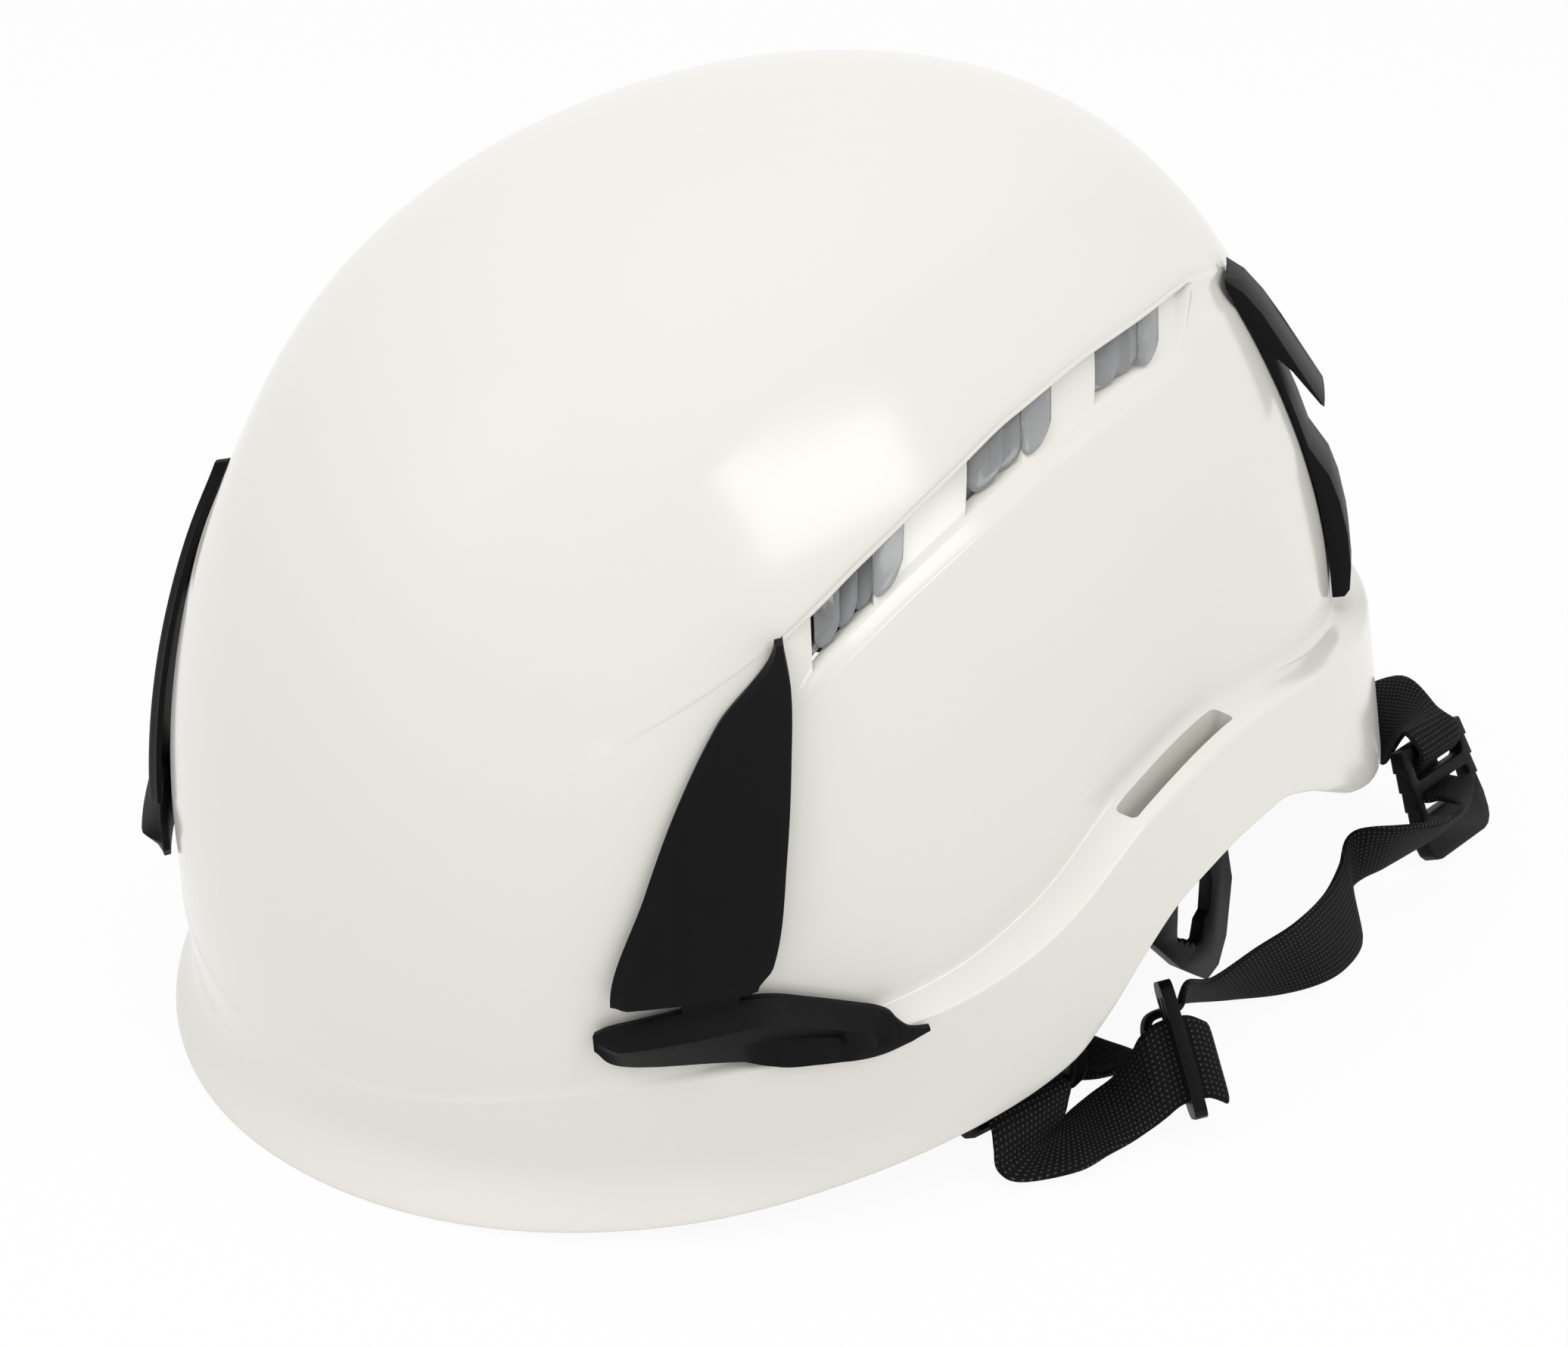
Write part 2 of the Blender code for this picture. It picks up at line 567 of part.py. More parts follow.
def make_louvres():
    """Clear strip behind the vents: rails above and below, upright slats standing out in each vent."""
    first, last = VENTS[0][0] - 1.6, VENTS[-1][1] + 1.6
    plan = [(first, 0.0)]
    for low, high in VENTS:
        pitch = (high - low) / SLATS
        for k in range(SLATS):
            start = low + pitch * (k + (1 - SLAT_SHARE) / 2)
            width = pitch * SLAT_SHARE
            plan += [(start, 0.25), (start + width / 2, 1.0), (start + width, 0.25)]
        plan.append((high + 0.8, 0.0))
    plan[-1] = (last, 0.0)
    outer, inner, holes = [], [], set()
    for i, (angle, ridge) in enumerate(plan):
        top, low = (shell_point(angle, True, CROWN_ROWS + k) for k in (0, 1))
        out = unit(polar(angle, 1, 0))
        column_out, column_in = [], []
        for share in LOUVRE_ROWS:
            spot = low + (top - low) * share - out * 3 * GAP
            proud = SLAT_OUT * ridge if share in LOUVRE_ROWS[2:4] else 0.0
            column_out.append(spot + out * proud)
            column_in.append(spot - out * LOUVRE_THICK)
        outer.append(column_out)
        inner.append(column_in)
        if i + 1 < len(plan):
            middle = (angle + plan[i + 1][0]) / 2
            in_vent = any(low < middle < high for low, high in VENTS)
            if in_vent and ridge == 0.25 and plan[i + 1][1] == 0.25:
                holes |= {(i, 1), (i, 2), (i, 3)}
    left = add_object("vent_louvre_left", skin(outer, inner, holes), CLEAR, HELMET)
    mirrored(left, "vent_louvre_right")


def make_front_clips():
    """Sail standing off the dome, joined by a neck to the fin on the ledge's front end."""
    outer, inner = [], []
    low, high = SAIL_FRONT[0][0], SAIL_FRONT[-1][0]
    for i in range(SAIL_COLUMNS + 1):
        column_out, column_in = [], []
        for k in range(SAIL_ROWS + 1):
            z = low + (high - low) * k / SAIL_ROWS
            front, rear = line(SAIL_FRONT, z), line(SAIL_REAR, z)
            angle = front + (rear - front) * i / SAIL_COLUMNS
            base = dome_radius(angle, z * MM) + SAIL_STANDOFF * (1 - 0.6 * k / SAIL_ROWS)
            column_in.append(polar(angle, base, z * MM))
            column_out.append(polar(angle, base + SAIL_THICK, z * MM))
        outer.append(column_out)
        inner.append(column_in)
    sail = skin(outer, inner)

    outer, inner = [], []
    for angle, bottom, ridge, back in spline(FIN_LINES, 2):
        brow = max(line(LEDGE_TOP, angle) - LEDGE_FALL / MM, bottom + 0.4)
        shelf = max(line(LEDGE_TOP, angle) + 0.3, brow + 0.4)
        swell = smooth((angle - FIN_LINES[0][0]) / 4 + 0.3) * smooth((FIN_LINES[-1][0] - angle) / 6 + 0.25)
        column_out, column_in = [], []
        for z in (bottom, brow, shelf, max(ridge, shelf + 0.4), max(back, shelf + 0.8)):
            proud = np.interp(z, (bottom, ridge, back), (0.12, 1.0, 0.12)) * swell
            floor = max(wall_radius(angle + da, (z + dz) * MM) for da in (-1.5, 0, 1.5) for dz in (-1, 0, 1))
            face = max(floor + 2 * GAP, dome_radius(angle, z * MM) + FIN_PROUD * proud)
            column_in.append(polar(angle, floor + 1.4 * GAP, z * MM))
            column_out.append(polar(angle, face + 2.6 * GAP, z * MM))
        outer.append(column_out)
        inner.append(column_in)
    fin = skin(outer, inner)

    outer, inner = [], []
    for angle in np.linspace(*NECK_ANGLES, 3):
        heights = np.array([38.0, 42.0, 47.0]) * MM
        inner.append([polar(angle, dome_radius(angle, z) + 1.4 * MM, z) for z in heights])
        outer.append([polar(angle, dome_radius(angle, z) + 3.4 * MM, z) for z in heights])
    neck = skin(outer, inner)
    left = add_object("front_lamp_clip_left", combine(sail, [neck, fin], "UNION"), BLACK, HELMET)
    mirrored(left, "front_lamp_clip_right")


def surface_reach(base, out, z):
    """How far along out from base, at height z, the shell's outer face lies."""
    low, high = -60 * MM, 60 * MM
    for _ in range(30):
        middle = (low + high) / 2
        spot = base + out * middle
        angle = math.degrees(math.atan2(spot.x, -spot.y))
        if math.hypot(spot.x, spot.y) < wall_radius(angle, z):
            low = middle
        else:
            high = middle
    return high


def make_rear_clips():
    """Hook, strut and plate as one outline in an upright plane across the wall, extruded along the wall."""
    middle = (REAR_CLIP_TOP + REAR_CLIP_FOOT) / 2
    frame = wall_frame(REAR_CLIP_ANGLE, middle, 0.0)
    along, up, out = (Vector(frame.col[k][:3]) for k in range(3))
    base = frame.translation * 1.0
    sides = [base + along * (REAR_CLIP_WIDTH / 2 * side) for side in (-1, 0, 1)]

    def off(z, stand):
        return (max(surface_reach(side, out, z) for side in sides) + stand, z)

    strut, plate, hook = REAR_STRUT_THICK, REAR_PLATE_THICK, REAR_HOOK_THICK
    back = [off(z, 1.5 * GAP) for z in np.linspace(REAR_CLIP_FOOT, REAR_CLIP_TOP, 12)]
    front = [off(REAR_CLIP_TOP, 0.6 * hook), off(REAR_CLIP_TOP - 3 * MM, hook),
             off((REAR_CLIP_TOP + REAR_HOOK_TIP) / 2, hook + 0.6 * MM), off(REAR_HOOK_TIP + 4 * MM, hook + 1.6 * MM),
             off(REAR_HOOK_TIP, hook + 1.2 * MM), off(REAR_HOOK_ROOT - 2 * MM, hook - 1.2 * MM),
             off(REAR_HOOK_ROOT, strut), off(REAR_PLATE_TOP + 6 * MM, strut),
             off(REAR_PLATE_TOP, plate), off((REAR_PLATE_TOP + REAR_CLIP_FOOT) / 2, plate + 0.4 * MM),
             off(REAR_CLIP_FOOT + 1 * MM, plate - 0.6 * MM)]
    flat = Vector((base.x, base.y, 0))
    matrix = frame_matrix(flat, out, up, out.cross(up))
    left = add_object("rear_lamp_clip_left", flat_plate([back + front], REAR_CLIP_WIDTH, matrix), BLACK, HELMET)
    mirrored(left, "rear_lamp_clip_right")


def band_point(angle, grow, z):
    """Point on the headband's ellipse, drawn larger by grow."""
    a = math.radians(angle)
    return np.array([(BAND_HALF_WIDTH + grow) * math.sin(a), -(BAND_FRONT + grow) * math.cos(a), z])


def band_skin(last, inside, outside, low, high, steps):
    """Band round the forehead from one side to the other."""
    angles = np.linspace(-last, last, steps + 1)
    outer, inner = ([[band_point(a, grow, z) for z in (low, high)] for a in angles] for grow in (outside, inside))
    return skin(outer, inner)


def make_headband():
    half = BAND_THICK / 2
    add_object("headband", band_skin(BAND_END, -half, half, BAND_LOW, BAND_LOW + BAND_TALL, 24), BLACK, HELMET)
    inside = -half - GAP
    pad = band_skin(PAD_ANGLE, inside - PAD_THICK, inside, BAND_LOW - PAD_MARGIN,
                    BAND_LOW + BAND_TALL + PAD_MARGIN, 16)
    add_object("sweatband", pad, FOAM, HELMET)


def anchor_base(angle):
    return line_mm(RIM_LOW, angle) - ANCHOR_DOWN


def anchor_slot(angle):
    """Matrix at the middle of an anchor's strap slot, its plate just clear of the inner wall all over."""
    low, top = anchor_base(angle), anchor_base(angle) + ANCHOR_DOWN + ANCHOR_UP
    frame = wall_frame(angle, top - ANCHOR_UP / 2, 0.0)
    turn = math.degrees(ANCHOR_LENGTH / 2 / wall_radius(angle, top, True)) + 1
    spots = []
    for a in np.linspace(angle - turn, angle + turn, 7):
        for z in np.linspace(max(line_mm(RIM_LOW, a), low), top + GAP, 6):
            spots.append(frame.inverted() @ Vector(polar(a, wall_radius(a, z, True), z)))
    depth = min(spot.z for spot in spots) - GAP - ANCHOR_THICK / 2
    middle = frame @ Vector((0, 0, depth))
    frame.translation = (middle.x, middle.y, low + ANCHOR_FOOT + ANCHOR_SLOT_TALL / 2)
    return frame


def make_anchors():
    """Slotted plates behind the rim, the front ones with an arm to the headband."""
    for name, angle in (("front_anchor", FRONT_ANCHOR_ANGLE), ("rear_anchor", REAR_ANCHOR_ANGLE)):
        slot = anchor_slot(angle)
        low = anchor_base(angle) - slot.translation.z
        tall = ANCHOR_DOWN + ANCHOR_UP
        outline = rounded_box(ANCHOR_LENGTH, tall, 3 * MM, 2, (0, low + tall / 2))
        hole = rounded_box(ANCHOR_SLOT_LENGTH, ANCHOR_SLOT_TALL, 1 * MM, 2)
        mesh = flat_plate([outline, hole], ANCHOR_THICK, slot)
        if name == "front_anchor":
            mesh = combine(mesh, [anchor_arm(slot)], "UNION")
        left = add_object(f"{name}_left", mesh, BLACK, HELMET)
        mirrored(left, f"{name}_right")


def anchor_arm(slot):
    """Block from an anchor's plate to just short of the headband."""
    height = BAND_LOW + BAND_TALL / 2 - slot.translation.z
    start = slot @ Vector((0, height, 0))
    out = (slot.to_3x3() @ Vector((0, 0, 1))).normalized()
    reach = 0.0
    while True:
        spot = start - out * reach
        inside = (spot.x / (BAND_HALF_WIDTH + BAND_THICK / 2 + 1.5 * GAP)) ** 2
        inside += (spot.y / (BAND_FRONT + BAND_THICK / 2 + 1.5 * GAP)) ** 2
        if inside <= 1:
            break
        reach += 0.1 * MM
    half = ANCHOR_ARM / 2
    arm = box_mesh((-half, height - half, -reach), (half, height + half, 0))
    arm.transform(slot)
    return arm


def make_cradle():
    """Two crossed straps from anchor to anchor over the head, and the pad under their crossing."""
    lap = ANCHOR_THICK / 2 + 2.5 * GAP + WEB_THICK / 2
    for name, side, lift in (("cradle_strap_under", 1, 0.0), ("cradle_strap_over", -1, WEB_THICK + 3 * GAP)):
        ends = []
        for angle, turn in ((FRONT_ANCHOR_ANGLE, side), (REAR_ANCHOR_ANGLE, -side)):
            slot = anchor_slot(angle)
            plate_top = anchor_base(angle) + ANCHOR_DOWN + ANCHOR_UP - slot.translation.z
            along = slot.to_3x3() @ Vector((1, 0, 0))
            run = []
            for height in (plate_top - CRADLE_LAP, plate_top - CRADLE_LAP / 3):
                spot = slot @ Vector((0, height, -lap))
                run.append((np.array([turn * spot.x, spot.y, spot.z]), np.array([turn * along.x, along.y, along.z])))
            ends.append(run)
        front, rear = ends
        top = CRADLE_TOP + lift
        heading = unit((rear[1][0] - front[1][0]) * (1, 1, 0))
        across = np.cross(heading, (0, 0, 1))
        arch = [(feet[1][0], share, rise) for feet, run in ((front, CRADLE_ARCH), (rear, CRADLE_ARCH[-2::-1]))
                for share, rise in run]
        bridge = [(foot * (share, share, 1) + (0, 0, (top - foot[2]) * rise), across) for foot, share, rise in arch]
        route = same_side(front + bridge + rear[::-1])
        pairs = [pair(centre, side, CRADLE_WIDTH) for centre, side in route]
        add_object(name, webbing(pairs, 2), WEB, HELMET)
    disc = Matrix.Translation((0, 0, CRADLE_TOP - WEB_THICK / 2 - GAP - CROWN_PAD_THICK - CROWN_PAD_DROP))
    add_object("crown_pad", cylinder_mesh(CROWN_PAD_RADIUS, 0, CROWN_PAD_THICK, disc, 20), FOAM, HELMET)


def same_side(route):
    """Turns a route's cross directions so that neighbours point the same way."""
    out = [route[0]]
    for centre, across in route[1:]:
        if np.dot(across, out[-1][1]) < 0:
            across = -across
        out.append((centre, across))
    return out


def make_height_plates():
    """Toothed plate below the ear arch, with a lug out to the skirt."""
    middle = PLATE_INNER + PLATE_THICK / 2
    matrix = frame_matrix((middle, 0, 0), (0, 1, 0), (0, 0, 1), (1, 0, 0))
    outline, slot = ([(y * MM, z * MM) for y, z in points] for points in (PLATE_OUTLINE, PLATE_SLOT_LOW))
    stop = stud_height() + STUD_RADIUS + GAP
    slot = [(PLATE_SLOT_FRONT, stop), (PLATE_SLOT_REAR, stop)] + slot
    plate = flat_plate([outline, slot], PLATE_THICK, matrix)
    top = PLATE_OUTLINE[0][1] * MM
    rear = PLATE_OUTLINE[1][0] * MM
    front = SLOT_FRONT + SLOT_LENGTH + SLOT_WALL + GAP
    edge = math.degrees(math.atan2(rear, DOME_HALF_WIDTH))
    skirt = min(wall_radius(90 + a, top, True) * math.cos(math.radians(a)) for a in np.linspace(0, edge, 5))
    lug = box_mesh((PLATE_INNER + 0.5 * MM, front, top - LUG_TALL), (skirt - GAP, rear - 0.5 * MM, top - 0.5 * MM))
    mesh = combine(plate, [lug], "UNION")
    left = add_object("height_plate_left", mesh, BLACK, HELMET)
    mirrored(left, "height_plate_right")


def arc_skin(sections, inside, outside):
    """Curved strip through sections of (angle, list of heights)."""
    outer = [[polar(a, outside, z) for z in heights] for a, heights in sections]
    inner = [[polar(a, inside, z) for z in heights] for a, heights in sections]
    return outer, inner


def arc_degrees(length):
    return math.degrees(length / ARM_RADIUS)


def rack_sections(reach):
    """Toothed sections of an arm's tongue, up to reach past the rear centre."""
    pitch = math.pi * GEAR_MODULE
    root = pinion_pitch() + 1.25 * GEAR_MODULE
    tip = pinion_pitch() - 0.75 * GEAR_MODULE
    half = pitch / 4 - GEAR_BACKLASH / 2
    slope = 0.25 * GEAR_MODULE
    teeth = int((reach - half - slope) // pitch)
    first = -int((reach + ARM_TRAVEL) // pitch)
    sections = []
    for k in range(first, teeth + 1):
        for s, z in ((-half - slope, root), (-half + slope, tip), (half - slope, tip), (half + slope, root)):
            sections.append((180 + arc_degrees(k * pitch + s), (z, root + RACK_TALL)))
    return sections


def pinion_pitch():
    return PINION_TEETH * GEAR_MODULE / 2


def arm_mesh(under):
    """Arm with its lug and toothed tongue; under puts the tongue below the pinion."""
    half = ARM_TALL / 2
    root = pinion_pitch() + 1.25 * GEAR_MODULE
    slot_mid = STUD_ANGLE - arc_degrees(ARM_TRAVEL / 2)
    slot_half = arc_degrees(ARM_TRAVEL / 2 + STUD_RADIUS + GAP)
    end = slot_half + arc_degrees(ARM_MARGIN)
    low_slot, high_slot = STUD_HEIGHT - STUD_RADIUS - GAP, STUD_HEIGHT + STUD_RADIUS + GAP
    lug_rows = [low_slot, high_slot, ARM_LUG_TOP]
    lug_angles = [slot_mid + turn for turn in (-end, -slot_half, 0, slot_half, end)]
    tail = 180 + arc_degrees(-(RACK_REACH + ARM_TRAVEL + ARM_MARGIN))
    body_angles = np.linspace(lug_angles[-1], tail - arc_degrees(2 * half - RACK_TALL), 10)[1:]
    strip = [(a, -half, half) for a in lug_angles + list(body_angles)]
    strip.append((tail, root, root + RACK_TALL))
    strip += [(a, low, high) for a, (low, high) in rack_sections(RACK_REACH)]
    strip.append((180 + arc_degrees(RACK_REACH), root, root + RACK_TALL))
    sections = [(a, [-high, -low] + lug_rows if under else [low, high] + lug_rows) for a, low, high in strip]
    lug_cells = len(lug_angles) - 1
    holes = {(i, j) for i in range(lug_cells, len(strip)) for j in (1, 2, 3)} | {(1, 2), (2, 2)}
    outer, inner = arc_skin(sections, ARM_RADIUS - ARM_THICK / 2, ARM_RADIUS + ARM_THICK / 2)
    return skin(outer, inner, holes)


def make_nape_arms():
    """Arms lapping the headband at the ears, with toothed tongues that pass over and under the pinion."""
    add_object("nape_arm_left", arm_mesh(False), BLACK, NAPE)
    right = arm_mesh(True)
    right.transform(Matrix.Scale(-1, 4, (1, 0, 0)))
    right.flip_normals()
    add_object("nape_arm_right", right, BLACK, NAPE)


def stud_height():
    """Height of the studs' axis in the level helmet."""
    tilt = math.radians(NAPE_TILT)
    behind = -ARM_RADIUS * math.cos(math.radians(STUD_ANGLE))
    return NAPE_CENTRE_Z + STUD_HEIGHT * math.cos(tilt) - behind * math.sin(tilt)


def make_studs():
    """Studs that pass through the arms' slots and hang in the tops of the toothed plates."""
    spot = polar(STUD_ANGLE, ARM_RADIUS, STUD_HEIGHT)
    matrix = frame_matrix((0, spot[1], STUD_HEIGHT), (0, 1, 0), (0, 0, 1), (1, 0, 0))
    tip = STUD_HEAD_RADIUS * math.tan(math.radians(90 - STUD_ANGLE))
    inside = spot[0] - ARM_THICK / 2 - GAP - tip
    outside = PLATE_INNER + PLATE_THICK + GAP
    shank = cylinder_mesh(STUD_RADIUS, inside - STUD_HEAD_THICK / 2, outside + STUD_HEAD_THICK, matrix, 16)
    head = cylinder_mesh(STUD_HEAD_RADIUS, inside - STUD_HEAD_THICK, inside, matrix, 16)
    mesh = combine(shank, [head], "UNION")
    left = add_object("height_stud_left", mesh, BLACK, NAPE)
    mirrored(left, "height_stud_right")


def make_ratchet():
    """Curved housing with a cavity for the racks, its cover, the pinion on the knob's shaft, and the knob."""
    front = ARM_RADIUS - CAVITY_DEPTH / 2
    rear = ARM_RADIUS + CAVITY_DEPTH / 2
    half = HOUSING_HALF_ANGLE
    window = pinion_pitch() + 1.25 * GEAR_MODULE + RACK_TALL + 2 * GAP
    angles = np.linspace(180 - half, 180 + half, 9)
    outside = [(rear, -HOUSING_FOOT), (front - HOUSING_WALL, -HOUSING_FOOT),
               (front - HOUSING_WALL, HOUSING_TOP), (rear, HOUSING_TOP)]
    inside = [(rear, -window), (front, -window), (front, window), (rear, window)]
    faces = [[[polar(a, r, z) for r, z in section] for a in angles] for section in (outside, inside)]
    tray = skin(*faces)
    add_object("ratchet_housing", combine(tray, screw_holes(GAP), "DIFFERENCE"), BLACK, NAPE)

    bore = frame_matrix((0, 0, 0), (1, 0, 0), (0, 0, 1), (0, -1, 0))
    a, b = arc_skin([(angle, [-HOUSING_FOOT + 1 * MM, HOUSING_TOP - 1 * MM]) for angle in angles],
                    rear + GAP, rear + GAP + COVER_THICK)
    cover = skin(b, a)
    hole = cylinder_mesh(SHAFT_RADIUS + GAP, -rear - 4 * COVER_THICK, -rear + CAVITY_DEPTH / 2, bore)
    add_object("ratchet_cover", combine(cover, [hole] + screw_holes(GAP), "DIFFERENCE"), BLACK, NAPE)

    spot = (0, ARM_RADIUS, 0)
    gear = frame_matrix(spot, (1, 0, 0), (0, 0, 1), (0, -1, 0))
    face = 3 * MM
    pinion = flat_plate([gear_outline()], 2 * face, gear)
    add_object("ratchet_pinion", pinion, BLACK, NAPE, spot)

    base = rear + GAP + COVER_THICK + GAP
    knob_at = frame_matrix((0, base + KNOB_DEPTH / 2, 0), (1, 0, 0), (0, 0, 1), (0, -1, 0))
    knob = flat_plate([knob_outline()], KNOB_DEPTH, knob_at)
    shaft = cylinder_mesh(SHAFT_RADIUS, -base - 1 * MM, -(ARM_RADIUS + face + GAP), bore)
    add_object("ratchet_knob", combine(knob, [shaft], "UNION"), BLACK, NAPE, spot)

    pad_front = front - HOUSING_WALL - GAP
    a, b = arc_skin([(angle, [-HOUSING_FOOT + 3 * MM, HOUSING_TOP - 1 * MM]) for angle in angles],
                    pad_front - NAPE_PAD_THICK, pad_front)
    add_object("nape_pad", skin(b, a), FOAM, NAPE)


def gear_outline():
    """Outline of the pinion, with a tooth pointing straight up less half a pitch, to mesh with the racks."""
    points = []
    pitch = pinion_pitch()
    step = 2 * math.pi / PINION_TEETH
    root, tip = pitch - 1.15 * GEAR_MODULE, pitch + 0.8 * GEAR_MODULE
    half = step / 4 - GEAR_BACKLASH / 2 / pitch
    for k in range(PINION_TEETH):
        middle = math.pi / 2 + step * (k + 0.5)
        for turn, radius in ((-1.5 * half, root), (-0.55 * half, tip), (0.55 * half, tip), (1.5 * half, root)):
            points.append((radius * math.cos(middle + turn), radius * math.sin(middle + turn)))
    return points


def knob_outline():
    points = []
    count = KNOB_GRIPS * 6
    for k in range(count):
        a = 2 * math.pi * k / count
        radius = KNOB_RADIUS - 0.7 * MM * (1 - math.cos(KNOB_GRIPS * a))
        points.append((radius * math.cos(a), radius * math.sin(a)))
    return points


def screw_spots():
    """Matrices on the cover's outer face, with Z pointing out, for its four screws."""
    rear = ARM_RADIUS + CAVITY_DEPTH / 2 + GAP + COVER_THICK
    spots = []
    for side in (-1, 1):
        for z in (-HOUSING_FOOT + 4 * MM, HOUSING_TOP - 4 * MM):
            angle = 180 + side * (HOUSING_HALF_ANGLE - 4)
            out = Vector(polar(angle, 1, 0))
            along = Vector((0, 0, 1)).cross(out)
            spots.append(frame_matrix(polar(angle, rear, z), along, (0, 0, 1), out))
    return spots


def screw_holes(clearance):
    """Cutters for the screws' shanks through the cover and into the housing."""
    radius = SCREW_RADIUS + clearance
    return [cylinder_mesh(radius, -SCREW_LENGTH - GAP, COVER_THICK, spot, 12) for spot in screw_spots()]


def make_cover_screws():
    """Four screws that hold the cover on the housing, heads proud of the cover."""
    for number, spot in enumerate(screw_spots(), 1):
        shank = cylinder_mesh(SCREW_RADIUS, -SCREW_LENGTH, GAP + SCREW_HEAD_THICK / 2, spot, 12)
        head = cylinder_mesh(SCREW_HEAD_RADIUS, GAP, GAP + SCREW_HEAD_THICK, spot, 12)
        add_object(f"cover_screw_{number}", combine(head, [shank], "UNION"), STEEL, NAPE)


def table_frame(matrix):
    turn = Matrix.Rotation(PITCH, 4, "X")
    return Matrix.Translation((0, 0, STAND)) @ turn @ matrix


def mm(*values):
    return np.array(values, float) * MM


# Slider on the left chin strap: middle, direction of its bars, direction across its slots.
GLIDE_AT = mm(113, -25.5, 13.8)
GLIDE_BARS = unit((-0.53, 0.26, 0.81))
GLIDE_ACROSS = unit((0.49, -0.67, 0.535))
# Ladder-lock: middle, direction of its bars, direction of the webbing through it.
LOCK_AT = mm(103, 103, 13.1)
LOCK_BARS = unit((0.05, 1, 0))
LOCK_UP = unit((-0.42, 0.02, 0.9))
BUCKLE_AT = mm(0, -21, 7.6)
# Edges of the left straps where they lie on the table, outer edge first, in millimetres.
CHIN_STRAP_TURN = [((98.4, -64.6, 6.2), (102.2, -46.4, 8.6)), ((100, -65.4, 2.8), (102, -48, 5.2)),
                   ((104, -64, 1.6), (103.6, -47.4, 2.8)), ((111, -56, 2.6), (103.6, -40.6, 1.9)),
                   ((112.9, -46, 2.8), (100.6, -32.6, 2.1)), ((113.6, -39, 2.4), (101.6, -26.8, 4.5)),
                   ((115, -37, 4), (103, -30.5, 15.5))]
CHIN_STRAP_RETURN = [((108.5, -21.5, 2.6), (97, -27.5, 15)), ((98, -13.5, 1.6), (91.5, -29, 7)),
                     ((86, -13, 1.4), (84, -31, 2))]
REAR_STRAP_TWIST = [((101.2, -2.9, 8.5), (107.2, -14, 20.5)), ((103.5, 11, 3.4), (106, -2, 15.2)),
                    ((109, 21.8, 1.4), (107.5, 12.3, 16)), ((113.4, 30.6, 1.4), (108.9, 24.9, 16.5)),
                    ((114.4, 39.3, 1.4), (107.5, 39.8, 16)), ((112.5, 49, 1.4), (104.2, 52.6, 16)),
                    ((107.8, 55.4, 2.4), (102.6, 57.2, 17)), ((103.6, 59.8, 4.4), (102.2, 59.4, 18.8)),
                    ((102.9, 62.6, 6), (103.5, 60.8, 20.6)), ((103.6, 66, 7), (106.6, 62.2, 21.8)),
                    ((105.2, 71.6, 7.5), (110.5, 65.5, 22)), ((106.8, 81, 8.2), (114.4, 74, 20.5)),
                    ((108.8, 89, 9.4), (115.6, 79.4, 20)), ((110.2, 100.6, 11.8), (114.2, 88.6, 18.6))]


def slot_ends(angle, depths, width):
    """Edge pairs of a strap that runs out through an anchor's slot, lying on the slot's lower bar."""
    slot = table_frame(anchor_slot(angle))
    along, up, out = (np.array(slot.col[k][:3]) for k in range(3))
    middle = np.array(slot.translation) - up * (ANCHOR_SLOT_TALL / 2 - WEB_THICK / 2 - GAP)
    return [pair(middle + out * depth, along, width) for depth in depths]


def make_chin_straps():
    """Webbing from the front anchor through the slider, round its bar and under the helmet to the buckle."""
    through = np.cross(GLIDE_BARS, GLIDE_ACROSS)
    upper, lower = GLIDE_AT + GLIDE_ACROSS * GLIDE_PITCH, GLIDE_AT - GLIDE_ACROSS * GLIDE_PITCH
    round_bar = [upper - through * 6 * MM, upper - through * 2.4 * MM, upper + through * 2.4 * MM,
                 GLIDE_AT + through * 5.6 * MM, lower + through * 2.4 * MM, lower - through * 2.4 * MM,
                 lower - through * 6 * MM]
    floor = FLOOR_GAP + WEB_THICK / 2
    under_buckle = BUCKLE_AT * (1, 1, 0) + (BUCKLE_LENGTH / 4, 0, floor)
    along_table = [mm(66, -22, 0), mm(40, -22, 0), under_buckle + mm(16, 0, 0), under_buckle]
    pairs = slot_ends(FRONT_ANCHOR_ANGLE, mm(-5, -1, 3), STRAP_WIDTH)
    pairs += [(mm(*a), mm(*b)) for a, b in CHIN_STRAP_TURN]
    pairs += [pair(spot, GLIDE_BARS, STRAP_WIDTH) for spot in round_bar]
    pairs += [(mm(*a), mm(*b)) for a, b in CHIN_STRAP_RETURN]
    pairs += [pair(spot, (0, -1, 0), STRAP_WIDTH) for spot in along_table]
    left = add_object("chin_strap_left", webbing(pairs, 3, FLOOR_GAP), WEB, TABLE)
    mirrored(left, "chin_strap_right")


